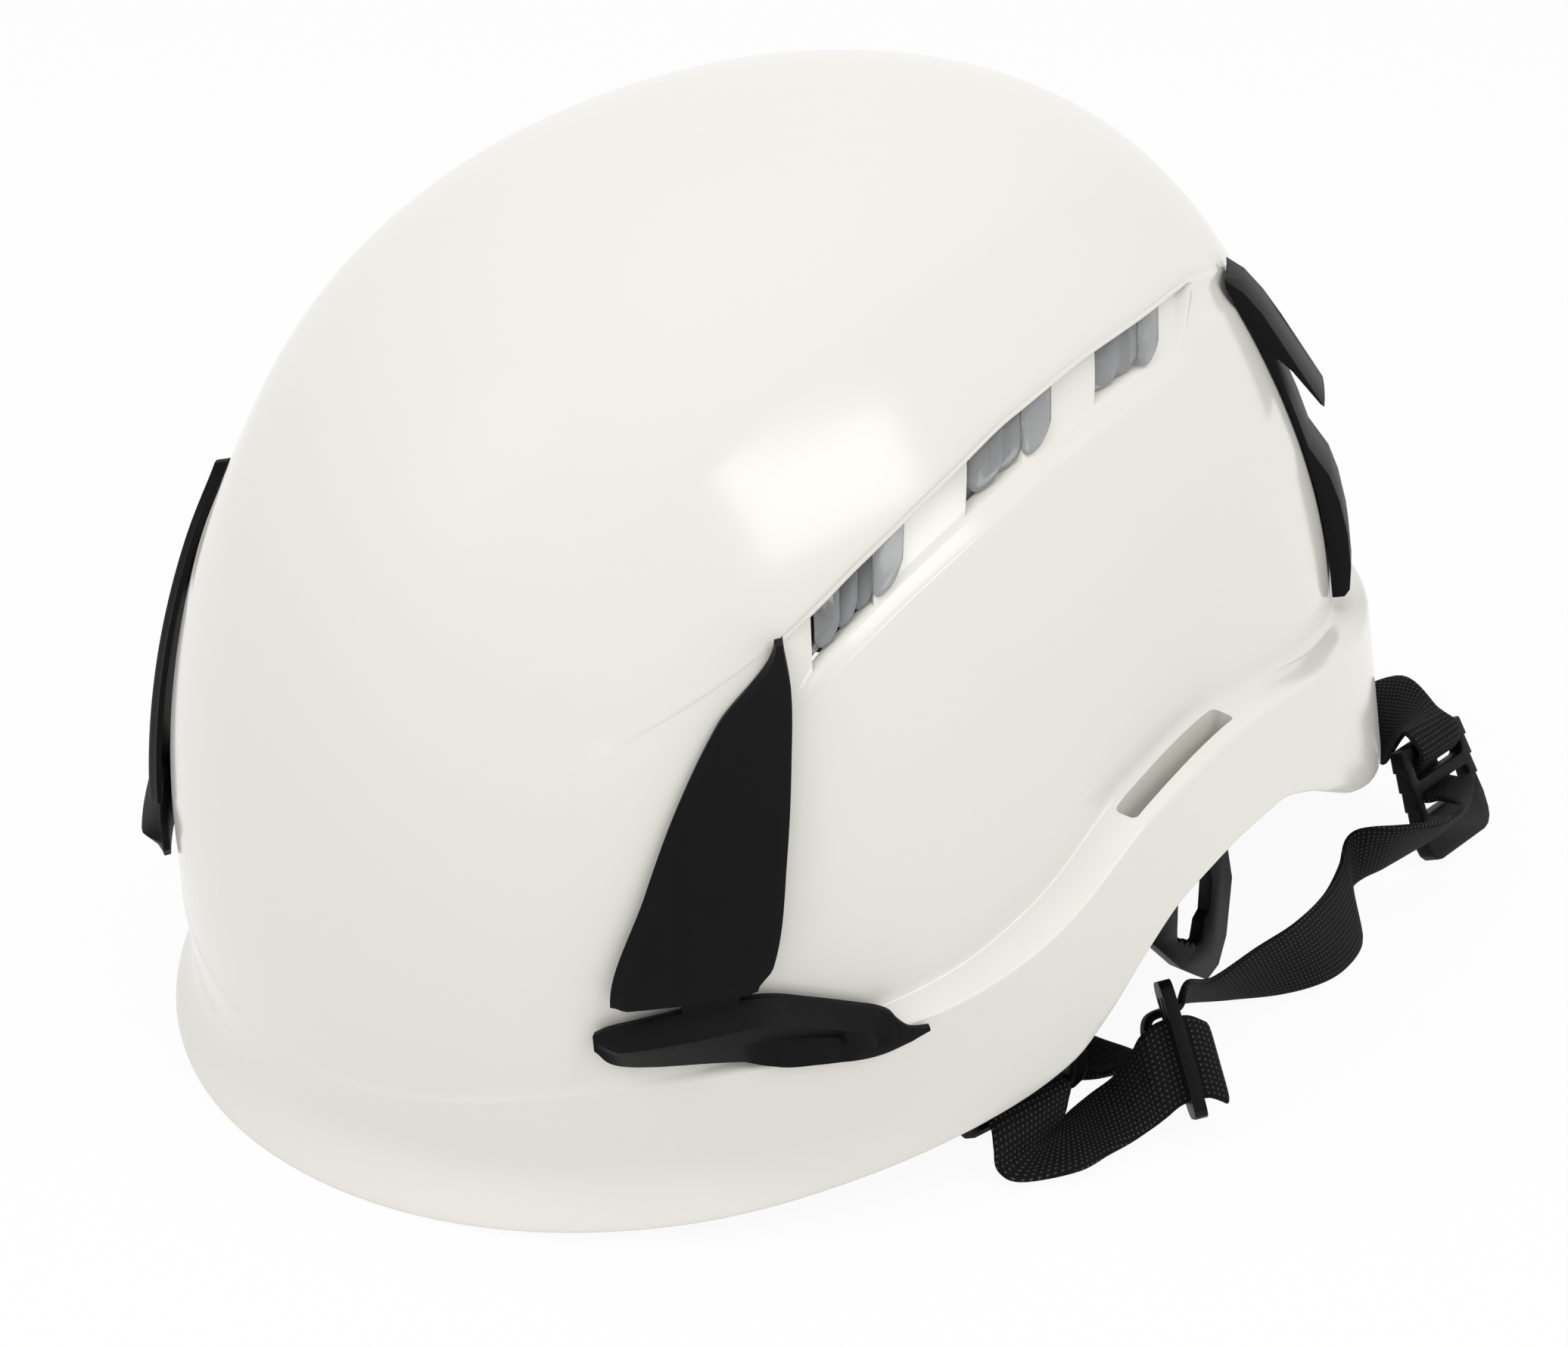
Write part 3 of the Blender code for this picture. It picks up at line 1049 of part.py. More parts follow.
def make_rear_straps():
    """Twisted strap from the slider to the ladder-lock, and the webbing from there into the nape."""
    face = np.cross(LOCK_BARS, LOCK_UP)
    end = GLIDE_AT + GLIDE_BARS * (GLIDE_LENGTH / 2 + 2 * GAP + WEB_THICK / 2)
    through = np.cross(GLIDE_BARS, GLIDE_ACROSS)
    pairs = [pair(end + through * depth, -GLIDE_ACROSS, STRAP_WIDTH * 0.8) for depth in mm(-3, 3)]
    pairs = [(b, a) if a[2] > b[2] else (a, b) for a, b in pairs]
    pairs += [(mm(*a), mm(*b)) for a, b in REAR_STRAP_TWIST]
    window = LOCK_AT + LOCK_UP * LOCK_HEIGHT * LOCK_SLOTS[1]
    pairs += [pair(window + face * depth, -LOCK_BARS, STRAP_WIDTH * 0.85) for depth in mm(4, 0)]
    left = add_object("rear_strap_left", webbing(pairs, 3, FLOOR_GAP), WEB, TABLE)
    mirrored(left, "rear_strap_right")

    top = LOCK_AT + LOCK_UP * LOCK_HEIGHT * LOCK_SLOTS[0]
    pairs = slot_ends(REAR_ANCHOR_ANGLE, mm(-5, 1, 7), STRAP_WIDTH)
    pairs.append((mm(87, 103, 22), mm(84, 121, 26.5)))
    pairs += [pair(top + face * depth, LOCK_BARS, STRAP_WIDTH) for depth in mm(-6, -2, 3.2)]
    left = add_object("rear_webbing_left", webbing(pairs, 3, FLOOR_GAP), WEB, TABLE)
    mirrored(left, "rear_webbing_right")


def make_sliders():
    """Tri-glide with two slots, and ladder-lock with a wide thumb end and ribbed sides."""
    through = np.cross(GLIDE_BARS, GLIDE_ACROSS)
    matrix = frame_matrix(GLIDE_AT, GLIDE_BARS, GLIDE_ACROSS, through)
    long = STRAP_WIDTH + 1.6 * MM
    outlines = [rounded_box(GLIDE_LENGTH, GLIDE_HEIGHT, 3 * MM)]
    for side in (-1, 1):
        outlines.append(rounded_box(long, GLIDE_SLOT, 1 * MM, 2, (0, side * GLIDE_PITCH)))
    left = add_object("tri_glide_left", flat_plate(outlines, GLIDE_THICK, matrix), BLACK, TABLE)
    mirrored(left, "tri_glide_right")

    matrix = frame_matrix(LOCK_AT, LOCK_BARS, LOCK_UP, np.cross(LOCK_BARS, LOCK_UP))
    outlines = [lock_outline()]
    for y, tall in ((LOCK_HEIGHT * share, LOCK_SLOT) for share in LOCK_SLOTS):
        outlines.append(rounded_box(long, tall, 1 * MM, 2, (0, y)))
    left = add_object("ladder_lock_left", flat_plate(outlines, LOCK_THICK, matrix), BLACK, TABLE)
    mirrored(left, "ladder_lock_right")


def lock_outline():
    """Rectangle with round lower corners and stepped sides above them."""
    half, top, low = LOCK_WIDTH / 2, LOCK_HEIGHT / 2, -LOCK_HEIGHT / 2
    steps = 4
    rise = (top - low) * 0.7 / steps
    side = []
    for k in range(steps):
        z = low + (top - low) * 0.3 + rise * k
        side += [(half, z), (half - 0.9 * MM, z + rise)]
    corner = [(half - 4 * MM + 4 * MM * math.sin(a), low + 4 * MM - 4 * MM * math.cos(a))
              for a in np.linspace(0, math.pi / 2, 4)]
    right = corner + side
    return right + [(-x, z) for x, z in reversed(right)]


def make_chin_buckle():
    """Socket with side windows on the left strap, tongue with two sprung prongs on the right strap."""
    x, y, z = BUCKLE_AT
    half_l, half_w, half_t = BUCKLE_LENGTH / 2, BUCKLE_WIDTH / 2, BUCKLE_THICK / 2
    wall = 1.8 * MM
    flat = Matrix.Translation((x + half_l / 2, y, z))
    body = flat_plate([rounded_box(half_l, BUCKLE_WIDTH, 3 * MM)], BUCKLE_THICK, flat)
    room_w = BUCKLE_WIDTH - 2 * wall - 4 * MM
    cavity = box_mesh((x - 2 * MM, y - room_w / 2, z - half_t + wall),
                      (x + half_l - wall, y + room_w / 2, z + half_t - wall))
    window = box_mesh((x + 5 * MM, y - half_w - 1 * MM, z - half_t + wall),
                      (x + 11 * MM, y + half_w + 1 * MM, z + half_t - wall))
    socket = combine(body, [cavity, window], "DIFFERENCE")
    add_object("chin_buckle_socket", socket, BLACK, TABLE)

    prong_t = BUCKLE_THICK - 2 * wall - 2 * GAP
    base = flat_plate([rounded_box(half_l - GAP, BUCKLE_WIDTH, 3 * MM)], BUCKLE_THICK,
                      Matrix.Translation((x - half_l / 2 - GAP / 2, y, z)))
    reach = half_l - wall - GAP
    outer = room_w / 2 - GAP
    prongs = []
    for side in (-1, 1):
        points = [(-2 * MM, side * (outer - 1.6 * MM)), (4.6 * MM, side * (outer - 2 * MM)), (6.4 * MM, side * outer),
                  (10 * MM, side * outer), (reach, side * (outer - 2.6 * MM)), (reach, side * (outer - 4.8 * MM)),
                  (5 * MM, side * (outer - 5 * MM)), (-2 * MM, side * (outer - 4.8 * MM))]
        prongs.append(flat_plate([points], prong_t, Matrix.Translation((x, y, z))))
    add_object("chin_buckle_tongue", combine(base, prongs, "UNION"), BLACK, TABLE)


def nape_foot():
    """Lowest rear edge of the nape unit, in the level helmet."""
    tilt = math.radians(NAPE_TILT)
    radius = ARM_RADIUS + CAVITY_DEPTH / 2
    y = NAPE_CENTRE_Y + radius * math.cos(tilt) - HOUSING_FOOT * math.sin(tilt)
    z = NAPE_CENTRE_Z - radius * math.sin(tilt) - HOUSING_FOOT * math.cos(tilt)
    return y, z


def stand_on_table():
    """Moves everything so that the whole stands on z = 0, centred on the origin."""
    bpy.context.view_layer.update()
    corners = [item.matrix_world @ v.co for item in PARTS.objects if item.type == "MESH" for v in item.data.vertices]
    low = [min(c[k] for c in corners) for k in range(3)]
    high = [max(c[k] for c in corners) for k in range(3)]
    TABLE.location.x -= (low[0] + high[0]) / 2
    TABLE.location.y -= (low[1] + high[1]) / 2
    TABLE.location.z -= low[2]


def empty(name, parent=None):
    item = bpy.data.objects.new(name, None)
    item.parent = parent
    PARTS.objects.link(item)
    return item


clear_scene()
PARTS = bpy.data.collections.new("climbing_helmet")
bpy.context.scene.collection.children.link(PARTS)
WHITE = make_material("shell_white", (0.88, 0.86, 0.80), 0.12)
BLACK = make_material("black_moulding", (0.012, 0.012, 0.013), 0.45)
CLEAR = make_material("clear_louvre", (0.75, 0.78, 0.80), 0.15, 0.0, 0.8)
WEB = make_material("black_webbing", (0.01, 0.01, 0.011), 0.85)
FOAM = make_material("dark_foam", (0.03, 0.03, 0.032), 0.95)
STEEL = make_material("screw_steel", (0.5, 0.5, 0.52), 0.35, 1.0)

FOOT_Y, FOOT_Z = nape_foot()
BRIM_Y = -DOME_FRONT - line_mm(RIM_OVERHANG, 0)
BRIM_Z = line_mm(RIM_LOW, 0)
PITCH = math.atan2(BRIM_Z - FOOT_Z, FOOT_Y - BRIM_Y)
STAND = -(BRIM_Y * math.sin(PITCH) + BRIM_Z * math.cos(PITCH))

TABLE = empty("table_frame")
ROW_LEANS = row_leans()
HELMET = empty("helmet_frame", TABLE)
HELMET.rotation_euler.x = PITCH
HELMET.location.z = STAND
NAPE = empty("nape_frame", HELMET)
NAPE.location = (0, NAPE_CENTRE_Y, NAPE_CENTRE_Z)
NAPE.rotation_euler.x = -math.radians(NAPE_TILT)

make_shell()
make_louvres()
make_front_clips()
make_rear_clips()
make_headband()
make_anchors()
make_cradle()
make_height_plates()
make_nape_arms()
make_studs()
make_ratchet()
make_cover_screws()
make_chin_straps()
make_rear_straps()
make_sliders()
make_chin_buckle()
stand_on_table()
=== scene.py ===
"""Climbing helmet in a white studio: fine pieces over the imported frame, with materials, light and camera.

The shell and its fittings are drawn level in millimetres as fractions of a metre and set into the helmet's
frame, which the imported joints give. The straps are drawn as they lie on the table.
"""
import functools
import json
import math

import bmesh
import bpy
import numpy as np
from mathutils import Matrix, Vector

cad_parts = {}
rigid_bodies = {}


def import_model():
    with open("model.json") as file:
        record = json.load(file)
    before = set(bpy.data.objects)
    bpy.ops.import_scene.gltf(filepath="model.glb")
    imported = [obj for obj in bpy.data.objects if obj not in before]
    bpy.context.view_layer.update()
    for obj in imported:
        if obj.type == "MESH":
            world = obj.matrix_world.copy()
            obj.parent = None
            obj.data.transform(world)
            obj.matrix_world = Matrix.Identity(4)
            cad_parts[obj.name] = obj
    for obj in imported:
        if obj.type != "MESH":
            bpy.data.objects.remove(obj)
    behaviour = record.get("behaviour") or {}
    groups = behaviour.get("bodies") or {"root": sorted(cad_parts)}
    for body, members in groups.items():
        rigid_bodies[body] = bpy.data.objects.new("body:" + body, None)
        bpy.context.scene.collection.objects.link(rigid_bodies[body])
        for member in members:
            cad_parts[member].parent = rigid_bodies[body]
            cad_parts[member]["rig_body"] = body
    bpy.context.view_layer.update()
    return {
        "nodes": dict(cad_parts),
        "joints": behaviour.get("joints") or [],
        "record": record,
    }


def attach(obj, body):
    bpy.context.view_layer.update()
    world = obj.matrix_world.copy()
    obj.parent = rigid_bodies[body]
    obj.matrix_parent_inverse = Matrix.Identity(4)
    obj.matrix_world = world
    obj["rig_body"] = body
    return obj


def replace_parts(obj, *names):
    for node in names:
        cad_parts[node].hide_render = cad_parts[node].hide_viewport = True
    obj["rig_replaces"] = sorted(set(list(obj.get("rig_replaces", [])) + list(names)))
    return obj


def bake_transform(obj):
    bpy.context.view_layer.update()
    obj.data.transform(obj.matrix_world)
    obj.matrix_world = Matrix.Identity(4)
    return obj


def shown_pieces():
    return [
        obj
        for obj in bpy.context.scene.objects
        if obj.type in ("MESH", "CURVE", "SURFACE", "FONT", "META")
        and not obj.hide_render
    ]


MM = 0.001
GAP = 0.4 * MM

# Dome and wall of the shell.
DOME_HALF_WIDTH = 100.7 * MM
DOME_FRONT = 135.3 * MM
DOME_REAR = 138.0 * MM
DOME_HEIGHT = 155.7 * MM
DOME_PLAN_POWER = 0.96
DOME_SIDE_POWER = 0.79
QUARTER_SWELL = 3.0 * MM
SWELL_TOP = 105.0 * MM
SWELL_FULL = 45.0 * MM
WALL = 2.6 * MM
LEDGE_FALL = 1.2 * MM
FLARE_BOW = 1.2 * MM
# Lines round the shell: angle from the front in degrees, value in millimetres.
CROWN_EDGE = [(0, 78), (20, 82), (34, 91.5), (42, 98.5), (51, 106.5), (62, 113), (76, 118), (95, 120),
              (113, 119), (123, 117.5), (132, 114), (143, 107), (160, 98), (180, 92)]
CHANNEL_LOW = [(0, 66), (20, 70), (34, 79.5), (42, 88), (49, 95.5), (58, 102), (68, 106.5), (81, 110),
               (97, 111), (111, 110), (123, 108), (132, 104), (143, 97), (160, 88), (180, 82)]
LEDGE_TOP = [(0, 20), (25, 27), (40, 31), (54, 33.5), (64, 38.5), (78, 49), (92, 51.5), (104, 48.5),
             (118, 41.5), (132, 34.5), (150, 29), (180, 27)]
LEDGE_WIDTH = [(0, 0.3), (26, 0.3), (40, 4), (54, 7), (64, 8.4), (104, 8.4), (132, 8), (180, 7)]
CREASE_HEIGHT = [(0, 10), (20, 9.4), (35, 10.5), (45, 14), (54, 22), (64, 28), (78, 40), (92, 43),
                 (104, 38), (118, 27), (132, 17), (150, 11), (180, 9)]
FLARE = [(0, 1.0), (25, 1.0), (40, 0.8), (52, 0.3), (62, 0.0), (180, 0.0)]
RIM_LOW = [(0, 0), (30, 0), (52, 1.2), (60, 2.8), (66, 6), (70, 12), (75, 21), (81, 28.5), (90, 32),
           (97, 31), (104, 25.5), (111, 17), (118, 8), (126, 0.5), (136, -5), (150, -7.5), (180, -9)]
# How far the rim stands out past the foot of the dome.
RIM_OVERHANG = [(0, 7.2), (15, 6.8), (30, 5.9), (45, 4.3), (52, 4.2), (60, 5.0), (75, 8.5), (90, 10.8),
                (105, 10.1), (117, 9.8), (130, 11.2), (140, 11.3), (150, 10.1), (165, 7.3), (180, 7.0)]
# Vents and their channel: each vent's ends in degrees, its open share, and its slats as shares of its length.
VENTS = [(44.7, 55.4), (66.0, 81.8), (94.2, 110.4)]
VENT_OPEN = (0.70, 0.70, 0.90)
VENT_SLATS = [[(0.05, 0.30), (0.26, 0.50), (0.46, 0.71), (0.67, 1.04)],
              [(0.10, 0.45), (0.38, 0.72), (0.67, 1.05)],
              [(0.08, 0.44), (0.38, 0.76), (0.72, 1.03)]]
CHANNEL_START, CHANNEL_FULL, CHANNEL_END = 41.5, 46.5, 118.6
CHANNEL_END_RUN = 0.3
VENT_LEAN = 0.075
# Height below the crown's edge and depth under the dome, down the lip over the vents.
LIP_STEPS = [(0.25, 0.06), (0.9, 0.2), (1.15, 0.7), (1.4, 3.0)]
# Height over the channel's low line and depth, down the doubled sill under the vents.
SILL_STEPS = [(0.9, 1.0), (0.6, 0.66), (0.25, 0.46), (-2.0, 0.42), (-2.35, 0.06), (-2.7, 0.0)]
# Soft band that runs on behind the channel.
BAND_DEPTH = 0.8 * MM
BAND_SPAN = (118.0, 121.0, 148.0, 168.0)
# Crease of the crown: place across as a line along the helmet, both in millimetres, and its form.
CROWN_CREASE = [(-95, 42), (-76, 50), (-60, 53), (-35, 57), (-2, 59), (38, 56), (70, 48)]
CREASE_DROP = 1.5 * MM
CREASE_RUN = 14.0 * MM
CREASE_SOFT = 0.65 * MM
CREASE_FADE = (-110, -80, 45, 85)
GATE_AT = (1.0 * MM, -12.0 * MM)
GATE_SIZE = (3.0 * MM, 1.8 * MM)
GATE_TALL = 0.35 * MM
# Rounded edges.
LEDGE_FILLET = 2.0 * MM
LEDGE_ROUND = 0.9 * MM
RIM_ROUND = 0.9 * MM
CROWN_ROWS, FLOOR_ROWS, PANEL_ROWS, FILLET_ROWS, SKIRT_ROWS = 44, 6, 36, 5, 24
VENT_TOP_ROW = CROWN_ROWS + len(LIP_STEPS) - 1
STATION_STEP = 1.0
SKIRT_SOFTENING = 14
# Accessory slots.
SLOT_INSET = 1.3 * MM
SLOT_INNER = DOME_HALF_WIDTH - SLOT_INSET
SLOT_WIDTH = 4.6 * MM
SLOT_FRONT = -26.0 * MM
SLOT_LENGTH = 34.5 * MM
SLOT_WALL = 1.5 * MM
SLOT_DEPTH = 16.0 * MM
SLOT_ROUND = 1.2 * MM
SLEEVE_SINK, SLEEVE_GAP = 0.8 * MM, 0.06 * MM
# Louvres.
SLAT_THICK = 0.9 * MM
SLAT_DEEP = 2.2 * MM
SLAT_PROUD = 0.25 * MM
SLAT_TOP, SLAT_FOOT, SLAT_CORNER = 0.97, 0.07, 0.22
SLAT_NOSE, SLAT_NOSE_RUN = 0.6, 0.12
SLAT_ROUND = 0.18 * MM
SLAT_COLUMNS, SLAT_ROWS, RAIL_COLUMNS = 13, 9, 80
LOUVRE_THICK = 1.2 * MM
LOUVRE_RAILS = ((0.0, 0.12), (0.86, 1.0))
LOUVRE_MARGIN = 1.6
# Front lamp clip.
SAIL_THICK = 2.6 * MM
SAIL_STANDOFF = 1.8 * MM
SAIL_FRONT = [(44.5, 26.7), (63, 29.6), (76, 32.2), (88, 35.8), (98.5, 41.2)]
SAIL_REAR = [(44.5, 37.6), (48, 38.9), (66, 40.7), (80, 41.7), (92, 42.3), (98.5, 42.0)]
SAIL_ROWS, SAIL_COLUMNS = 60, 24
SAIL_RIB = (70.0, 74.0)
SAIL_RIB_GAP = 0.3 * MM
SAIL_BEVEL_FRONT, SAIL_BEVEL_REAR = 1.5 * MM, 0.5 * MM
FIN_LINES = [(25.2, 36.0, 37.4, 39.0), (27.0, 32.8, 38.0, 40.4), (33.0, 31.6, 38.9, 42.4),
             (37.8, 30.4, 39.4, 42.4), (42.0, 29.4, 36.6, 39.2), (46.0, 28.4, 32.6, 35.2),
             (48.6, 29.2, 31.0, 32.4), (50.8, 30.5, 30.8, 31.1)]
FIN_PROUD = 5.5 * MM
FIN_EDGE = 0.12
FIN_NOSE_RUN, FIN_TAIL_RUN = 4, 7
NECK_ANGLES = (31.8, 36.2)
NECK_HEIGHTS = (38.0, 47.0)
NECK_BACK, NECK_FACE = 1.4 * MM, 3.4 * MM
CLIP_ROUND, NECK_ROUND = 0.35 * MM, 0.4 * MM
# Rear lamp clip: its ends round the shell in degrees and its outline as (distance off the wall, height).
REAR_CLIP_SPAN = (132.4, 139.6)
REAR_CLIP_OUTLINE = [(0.6, 37.5), (0.6, 50), (0.6, 62), (0.6, 74), (0.6, 86), (0.6, 98), (0.6, 109),
                     (1.4, 111), (3.4, 108), (4.6, 103), (5.4, 97), (6.2, 91), (7.2, 85), (7.9, 81.5),
                     (7.3, 82.2), (6.0, 86), (4.6, 90), (3.0, 93), (1.9, 92), (1.8, 88), (1.8, 80),
                     (1.8, 73), (2.6, 70.5), (4.2, 66), (4.9, 60), (5.2, 52), (5.0, 44), (4.4, 39),
                     (3.2, 37.5)]
REAR_CLIP_COLUMNS = 9
# Headband, pads and nape unit.
BAND_HALF_WIDTH = 80.0 * MM
BAND_FRONT = 106.0 * MM
BAND_LOW, BAND_TALL = 6.0 * MM, 28.0 * MM
BAND_THICK = 2.0 * MM
PAD_THICK = 5.0 * MM
PAD_ANGLE = 62.0
PAD_MARGIN = 2.0 * MM
CRADLE_TOP = 118.0 * MM
CROWN_PAD_RADIUS = 20.0 * MM
CROWN_PAD_THICK = 4.0 * MM
CROWN_PAD_DROP = 2.4 * MM
NAPE_CENTRE = (0.0, 18.0 * MM, 4.6 * MM)
NAPE_TILT = 12.0
NAPE_PAD_RADIUS = 76.2 * MM
NAPE_PAD_THICK = 4.0 * MM
NAPE_PAD_HALF_ANGLE = 19.0
NAPE_PAD_LOW, NAPE_PAD_HIGH = -14.0 * MM, 16.0 * MM
PAD_EDGE = 0.12
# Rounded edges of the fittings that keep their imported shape.
FITTING_ROUND = 0.3 * MM
EDGE_ROUND = {"ladder_lock": 0.6 * MM, "tri_glide": 0.5 * MM, "ratchet_knob": 0.9 * MM,
              "front_anchor": 0.5 * MM, "height_plate": 0.4 * MM, "chin_buckle_socket": 0.6 * MM,
              "chin_buckle_tongue": 0.6 * MM}
# Webbing.
WEB_THICK = 1.6 * MM
STRAP_WIDTH = 18.5 * MM
FLOOR_GAP = 0.6 * MM
GLIDE_PITCH = 2.6 * MM
BUCKLE_LENGTH = 30.0 * MM
YARN = 1.05 * MM


def mm(*values):
    return np.array(values, float) * MM


def unit(v):
    v = np.asarray(v, float)
    return v / np.linalg.norm(v)


# Slider, ladder-lock and buckle on the table, with the straps' edges between them in millimetres.
GLIDE_AT = mm(113, -25.5, 13.8)
GLIDE_BARS = unit((-0.53, 0.26, 0.81))
GLIDE_ACROSS = unit((0.49, -0.67, 0.535))
LOCK_AT = mm(103, 103, 13.1)
LOCK_BARS = unit((0.05, 1, 0))
LOCK_UP = unit((-0.42, 0.02, 0.9))
BUCKLE_AT = mm(0, -21, 7.6)
FRONT_ANCHOR = (mm(95.5, -52.2, 10.9), unit((0.3135, 0.9423, 0.1171)), unit((0, -0.1233, 0.9924)))
REAR_ANCHOR = (mm(70.9, 107.4, 20.3), unit((-0.6946, 0.7139, 0.0887)), unit((0, -0.1233, 0.9924)))
ANCHOR_SLOT_TALL = 4.4 * MM
CHIN_STRAP_TURN = [((98.4, -64.6, 6.2), (102.2, -46.4, 8.6)), ((100, -65.4, 2.8), (102, -48, 5.2)),
                   ((104, -64, 1.6), (101, -48.4, 3.8)), ((111, -56, 2.6), (100, -42, 3.4)),
                   ((112.6, -48, 2.6), (100.4, -35.8, 4)), ((113.6, -42, 2.4), (102.9, -32, 7)),
                   ((115, -37, 3.4), (105.4, -30.4, 12.4))]
CHIN_STRAP_RETURN = [((110.5, -20.5, 1.6), (103.6, -28.6, 10)), ((99.4, -15, 1.5), (98.4, -30.8, 4.4)),
                     ((88, -15, 1.4), (88, -32, 1.4))]
REAR_STRAP_TWIST = [((101.2, -2.9, 8.5), (107.2, -14, 20.5)), ((103.5, 11, 3.4), (106, -2, 15.2)),
                    ((109, 21.8, 1.4), (107.5, 12.3, 16)), ((113.4, 30.6, 1.4), (108.9, 24.9, 16.5)),
                    ((114.4, 39.3, 1.4), (107.5, 39.8, 16)), ((112.5, 49, 1.4), (104.2, 52.6, 16)),
                    ((107.8, 55.4, 2.4), (102.6, 57.2, 17)), ((103.6, 59.8, 4.4), (102.2, 59.4, 18.8)),
                    ((102.9, 62.6, 6), (103.5, 60.8, 20.6)), ((103.6, 66, 7), (106.6, 62.2, 21.8)),
                    ((105.2, 71.6, 7.5), (110.5, 65.5, 22)), ((106.8, 81, 8.2), (114.4, 74, 20.5)),
                    ((108.8, 89, 9.4), (115.6, 79.4, 20)), ((110.2, 100.6, 11.8), (114.2, 88.6, 18.6))]
REAR_WEBBING_TURN = (mm(91, 97.5, 17.5), mm(83.5, 119.5, 29.5))
# Strap places round the slider and the ladder-lock, in millimetres along each one's own directions.
LOOP_WIDTH = 15.6 * MM
LOOP_DROP, LOOP_SAG, LOOP_LEAD = 2.0 * MM, 4.0 * MM, 3.5 * MM
LOOP_DEPTH, LOOP_RUN, LOOP_REACH = 2.4 * MM, 6.0 * MM, 5.6 * MM
YOKE_BEHIND = 11.5 * MM
YOKE_THROAT = [(1.0, -4.8, 9.0), (6.5, -3.2, 9.0), (7.4, 2.6, 9.0)]
LOCK_WRAP = [(16.0, 0.0), (13.4, 2.6), (10.6, 3.2), (8.2, 1.6), (7.6, -1.0)]
LOCK_RETURN = [(0.0, 4.0), (0.0, 0.0), (2.0, -3.6), (7.0, -4.2), (11.0, -4.2)]
LOCK_WRAP_SHARE, LOCK_RETURN_SHARE = 0.95, 0.85
FRONT_SLOT_RUN, REAR_SLOT_RUN = mm(-5, -1, 3), mm(-5, 1, 7)
CHIN_TABLE_RUN = [mm(66, -22, 0), mm(40, -22, 0)]
BUCKLE_LEAD = mm(16, 0, 0)
# Studio: lamps as name, place, aim, size in metres and watts.
WINDOW_LAMP = ("window", (1.0, -0.10, 0.83), (0.065, -0.074, 0.127), (0.66, 0.34), 2.9)
SOFT_LAMPS = [("front", (-0.5, -1.2, 1.5), (0, 0, 0.08), (0.9, 0.9), 9.0),
              ("top", (0.3, 0.2, 1.8), (0, 0, 0.08), (1.4, 1.4), 6.0)]
WORLD_COLOUR, WORLD_STRENGTH = (1.0, 0.995, 0.985, 1.0), 0.6
WHITE = (1.0, 1.0, 1.0, 1.0)
FLOOR_COLOUR, FLOOR_ROUGHNESS, FLOOR_WHITE = (0.9, 0.9, 0.9, 1.0), 0.9, 0.94
FLOOR_HALF = 6
# Camera.
CAMERA_AT = (0.31192, -0.39234, 0.27770)
CAMERA_RIGHT = (0.7797, 0.62616, 0.0006)
CAMERA_UP = (-0.2612, 0.32442, 0.90913)
LENS = 59.85
SENSOR = 36.0


def line(knots, at):
    """Smooth line through (place, value) knots that never overshoots them."""
    x, y = np.array(knots, float).T
    step = np.diff(x)
    slope = np.diff(y) / step
    tangent = np.zeros(len(x))
    for i in range(1, len(x) - 1):
        if slope[i - 1] * slope[i] > 0:
            a, b = 2 * step[i] + step[i - 1], step[i] + 2 * step[i - 1]
            tangent[i] = (a + b) / (a / slope[i - 1] + b / slope[i])
    at = np.clip(at, x[0], x[-1])
    i = np.clip(np.searchsorted(x, at) - 1, 0, len(step) - 1)
    t = (at - x[i]) / step[i]
    ends = (1 + 2 * t) * (1 - t) ** 2 * y[i] + t * t * (3 - 2 * t) * y[i + 1]
    bends = t * (1 - t) ** 2 * tangent[i] + t * t * (t - 1) * tangent[i + 1]
    return ends + bends * step[i]


def line_mm(knots, at):
    return line(knots, at) * MM


def smooth(t):
    t = np.clip(t, 0.0, 1.0)
    return t * t * (3 - 2 * t)


def plateau(at, span):
    """Smooth rise from span[0] to span[1] and fall from span[2] to span[3]."""
    a, b, c, d = span
    return smooth((at - a) / (b - a)) * smooth((d - at) / (d - c))


def polar(angle, radius, z):
    """Points at angles from the front, towards the wearer's left."""
    a = np.radians(angle)
    return np.stack(np.broadcast_arrays(radius * np.sin(a), -radius * np.cos(a), z), axis=-1)


def dome_radius(angle, z, inset=0.0):
    """Plan radius of the dome, or of the dome drawn smaller by inset."""
    a = np.radians(angle)
    reach = np.where(np.cos(a) > 0, DOME_FRONT, DOME_REAR) - inset
    p = 2 / DOME_PLAN_POWER
    plan = (abs(np.sin(a) / (DOME_HALF_WIDTH - inset)) ** p + abs(np.cos(a) / reach) ** p) ** (-1 / p)
    q = 2 / DOME_SIDE_POWER
    rise = np.clip(z / (DOME_HEIGHT - inset), 0.0, 1.0)
    swell = QUARTER_SWELL * np.sin(2 * a) ** 2 * smooth((SWELL_TOP - z) / (SWELL_TOP - SWELL_FULL))
    return plan * (1 - rise ** q) ** (1 / q) + swell


def channel(angle):
    """How deep the vent channel is, from 0 to 1."""
    fade_in = smooth((angle - CHANNEL_START) / (CHANNEL_FULL - CHANNEL_START))
    return fade_in * smooth((CHANNEL_END - angle) / CHANNEL_END_RUN + 0.5)


def lean(angle):
    """Degrees by which the channel's upright edges lean back at the top."""
    back = smooth((180 - angle) / (180 - CHANNEL_END))
    return VENT_LEAN * np.maximum(angle - CHANNEL_START, 0) * back


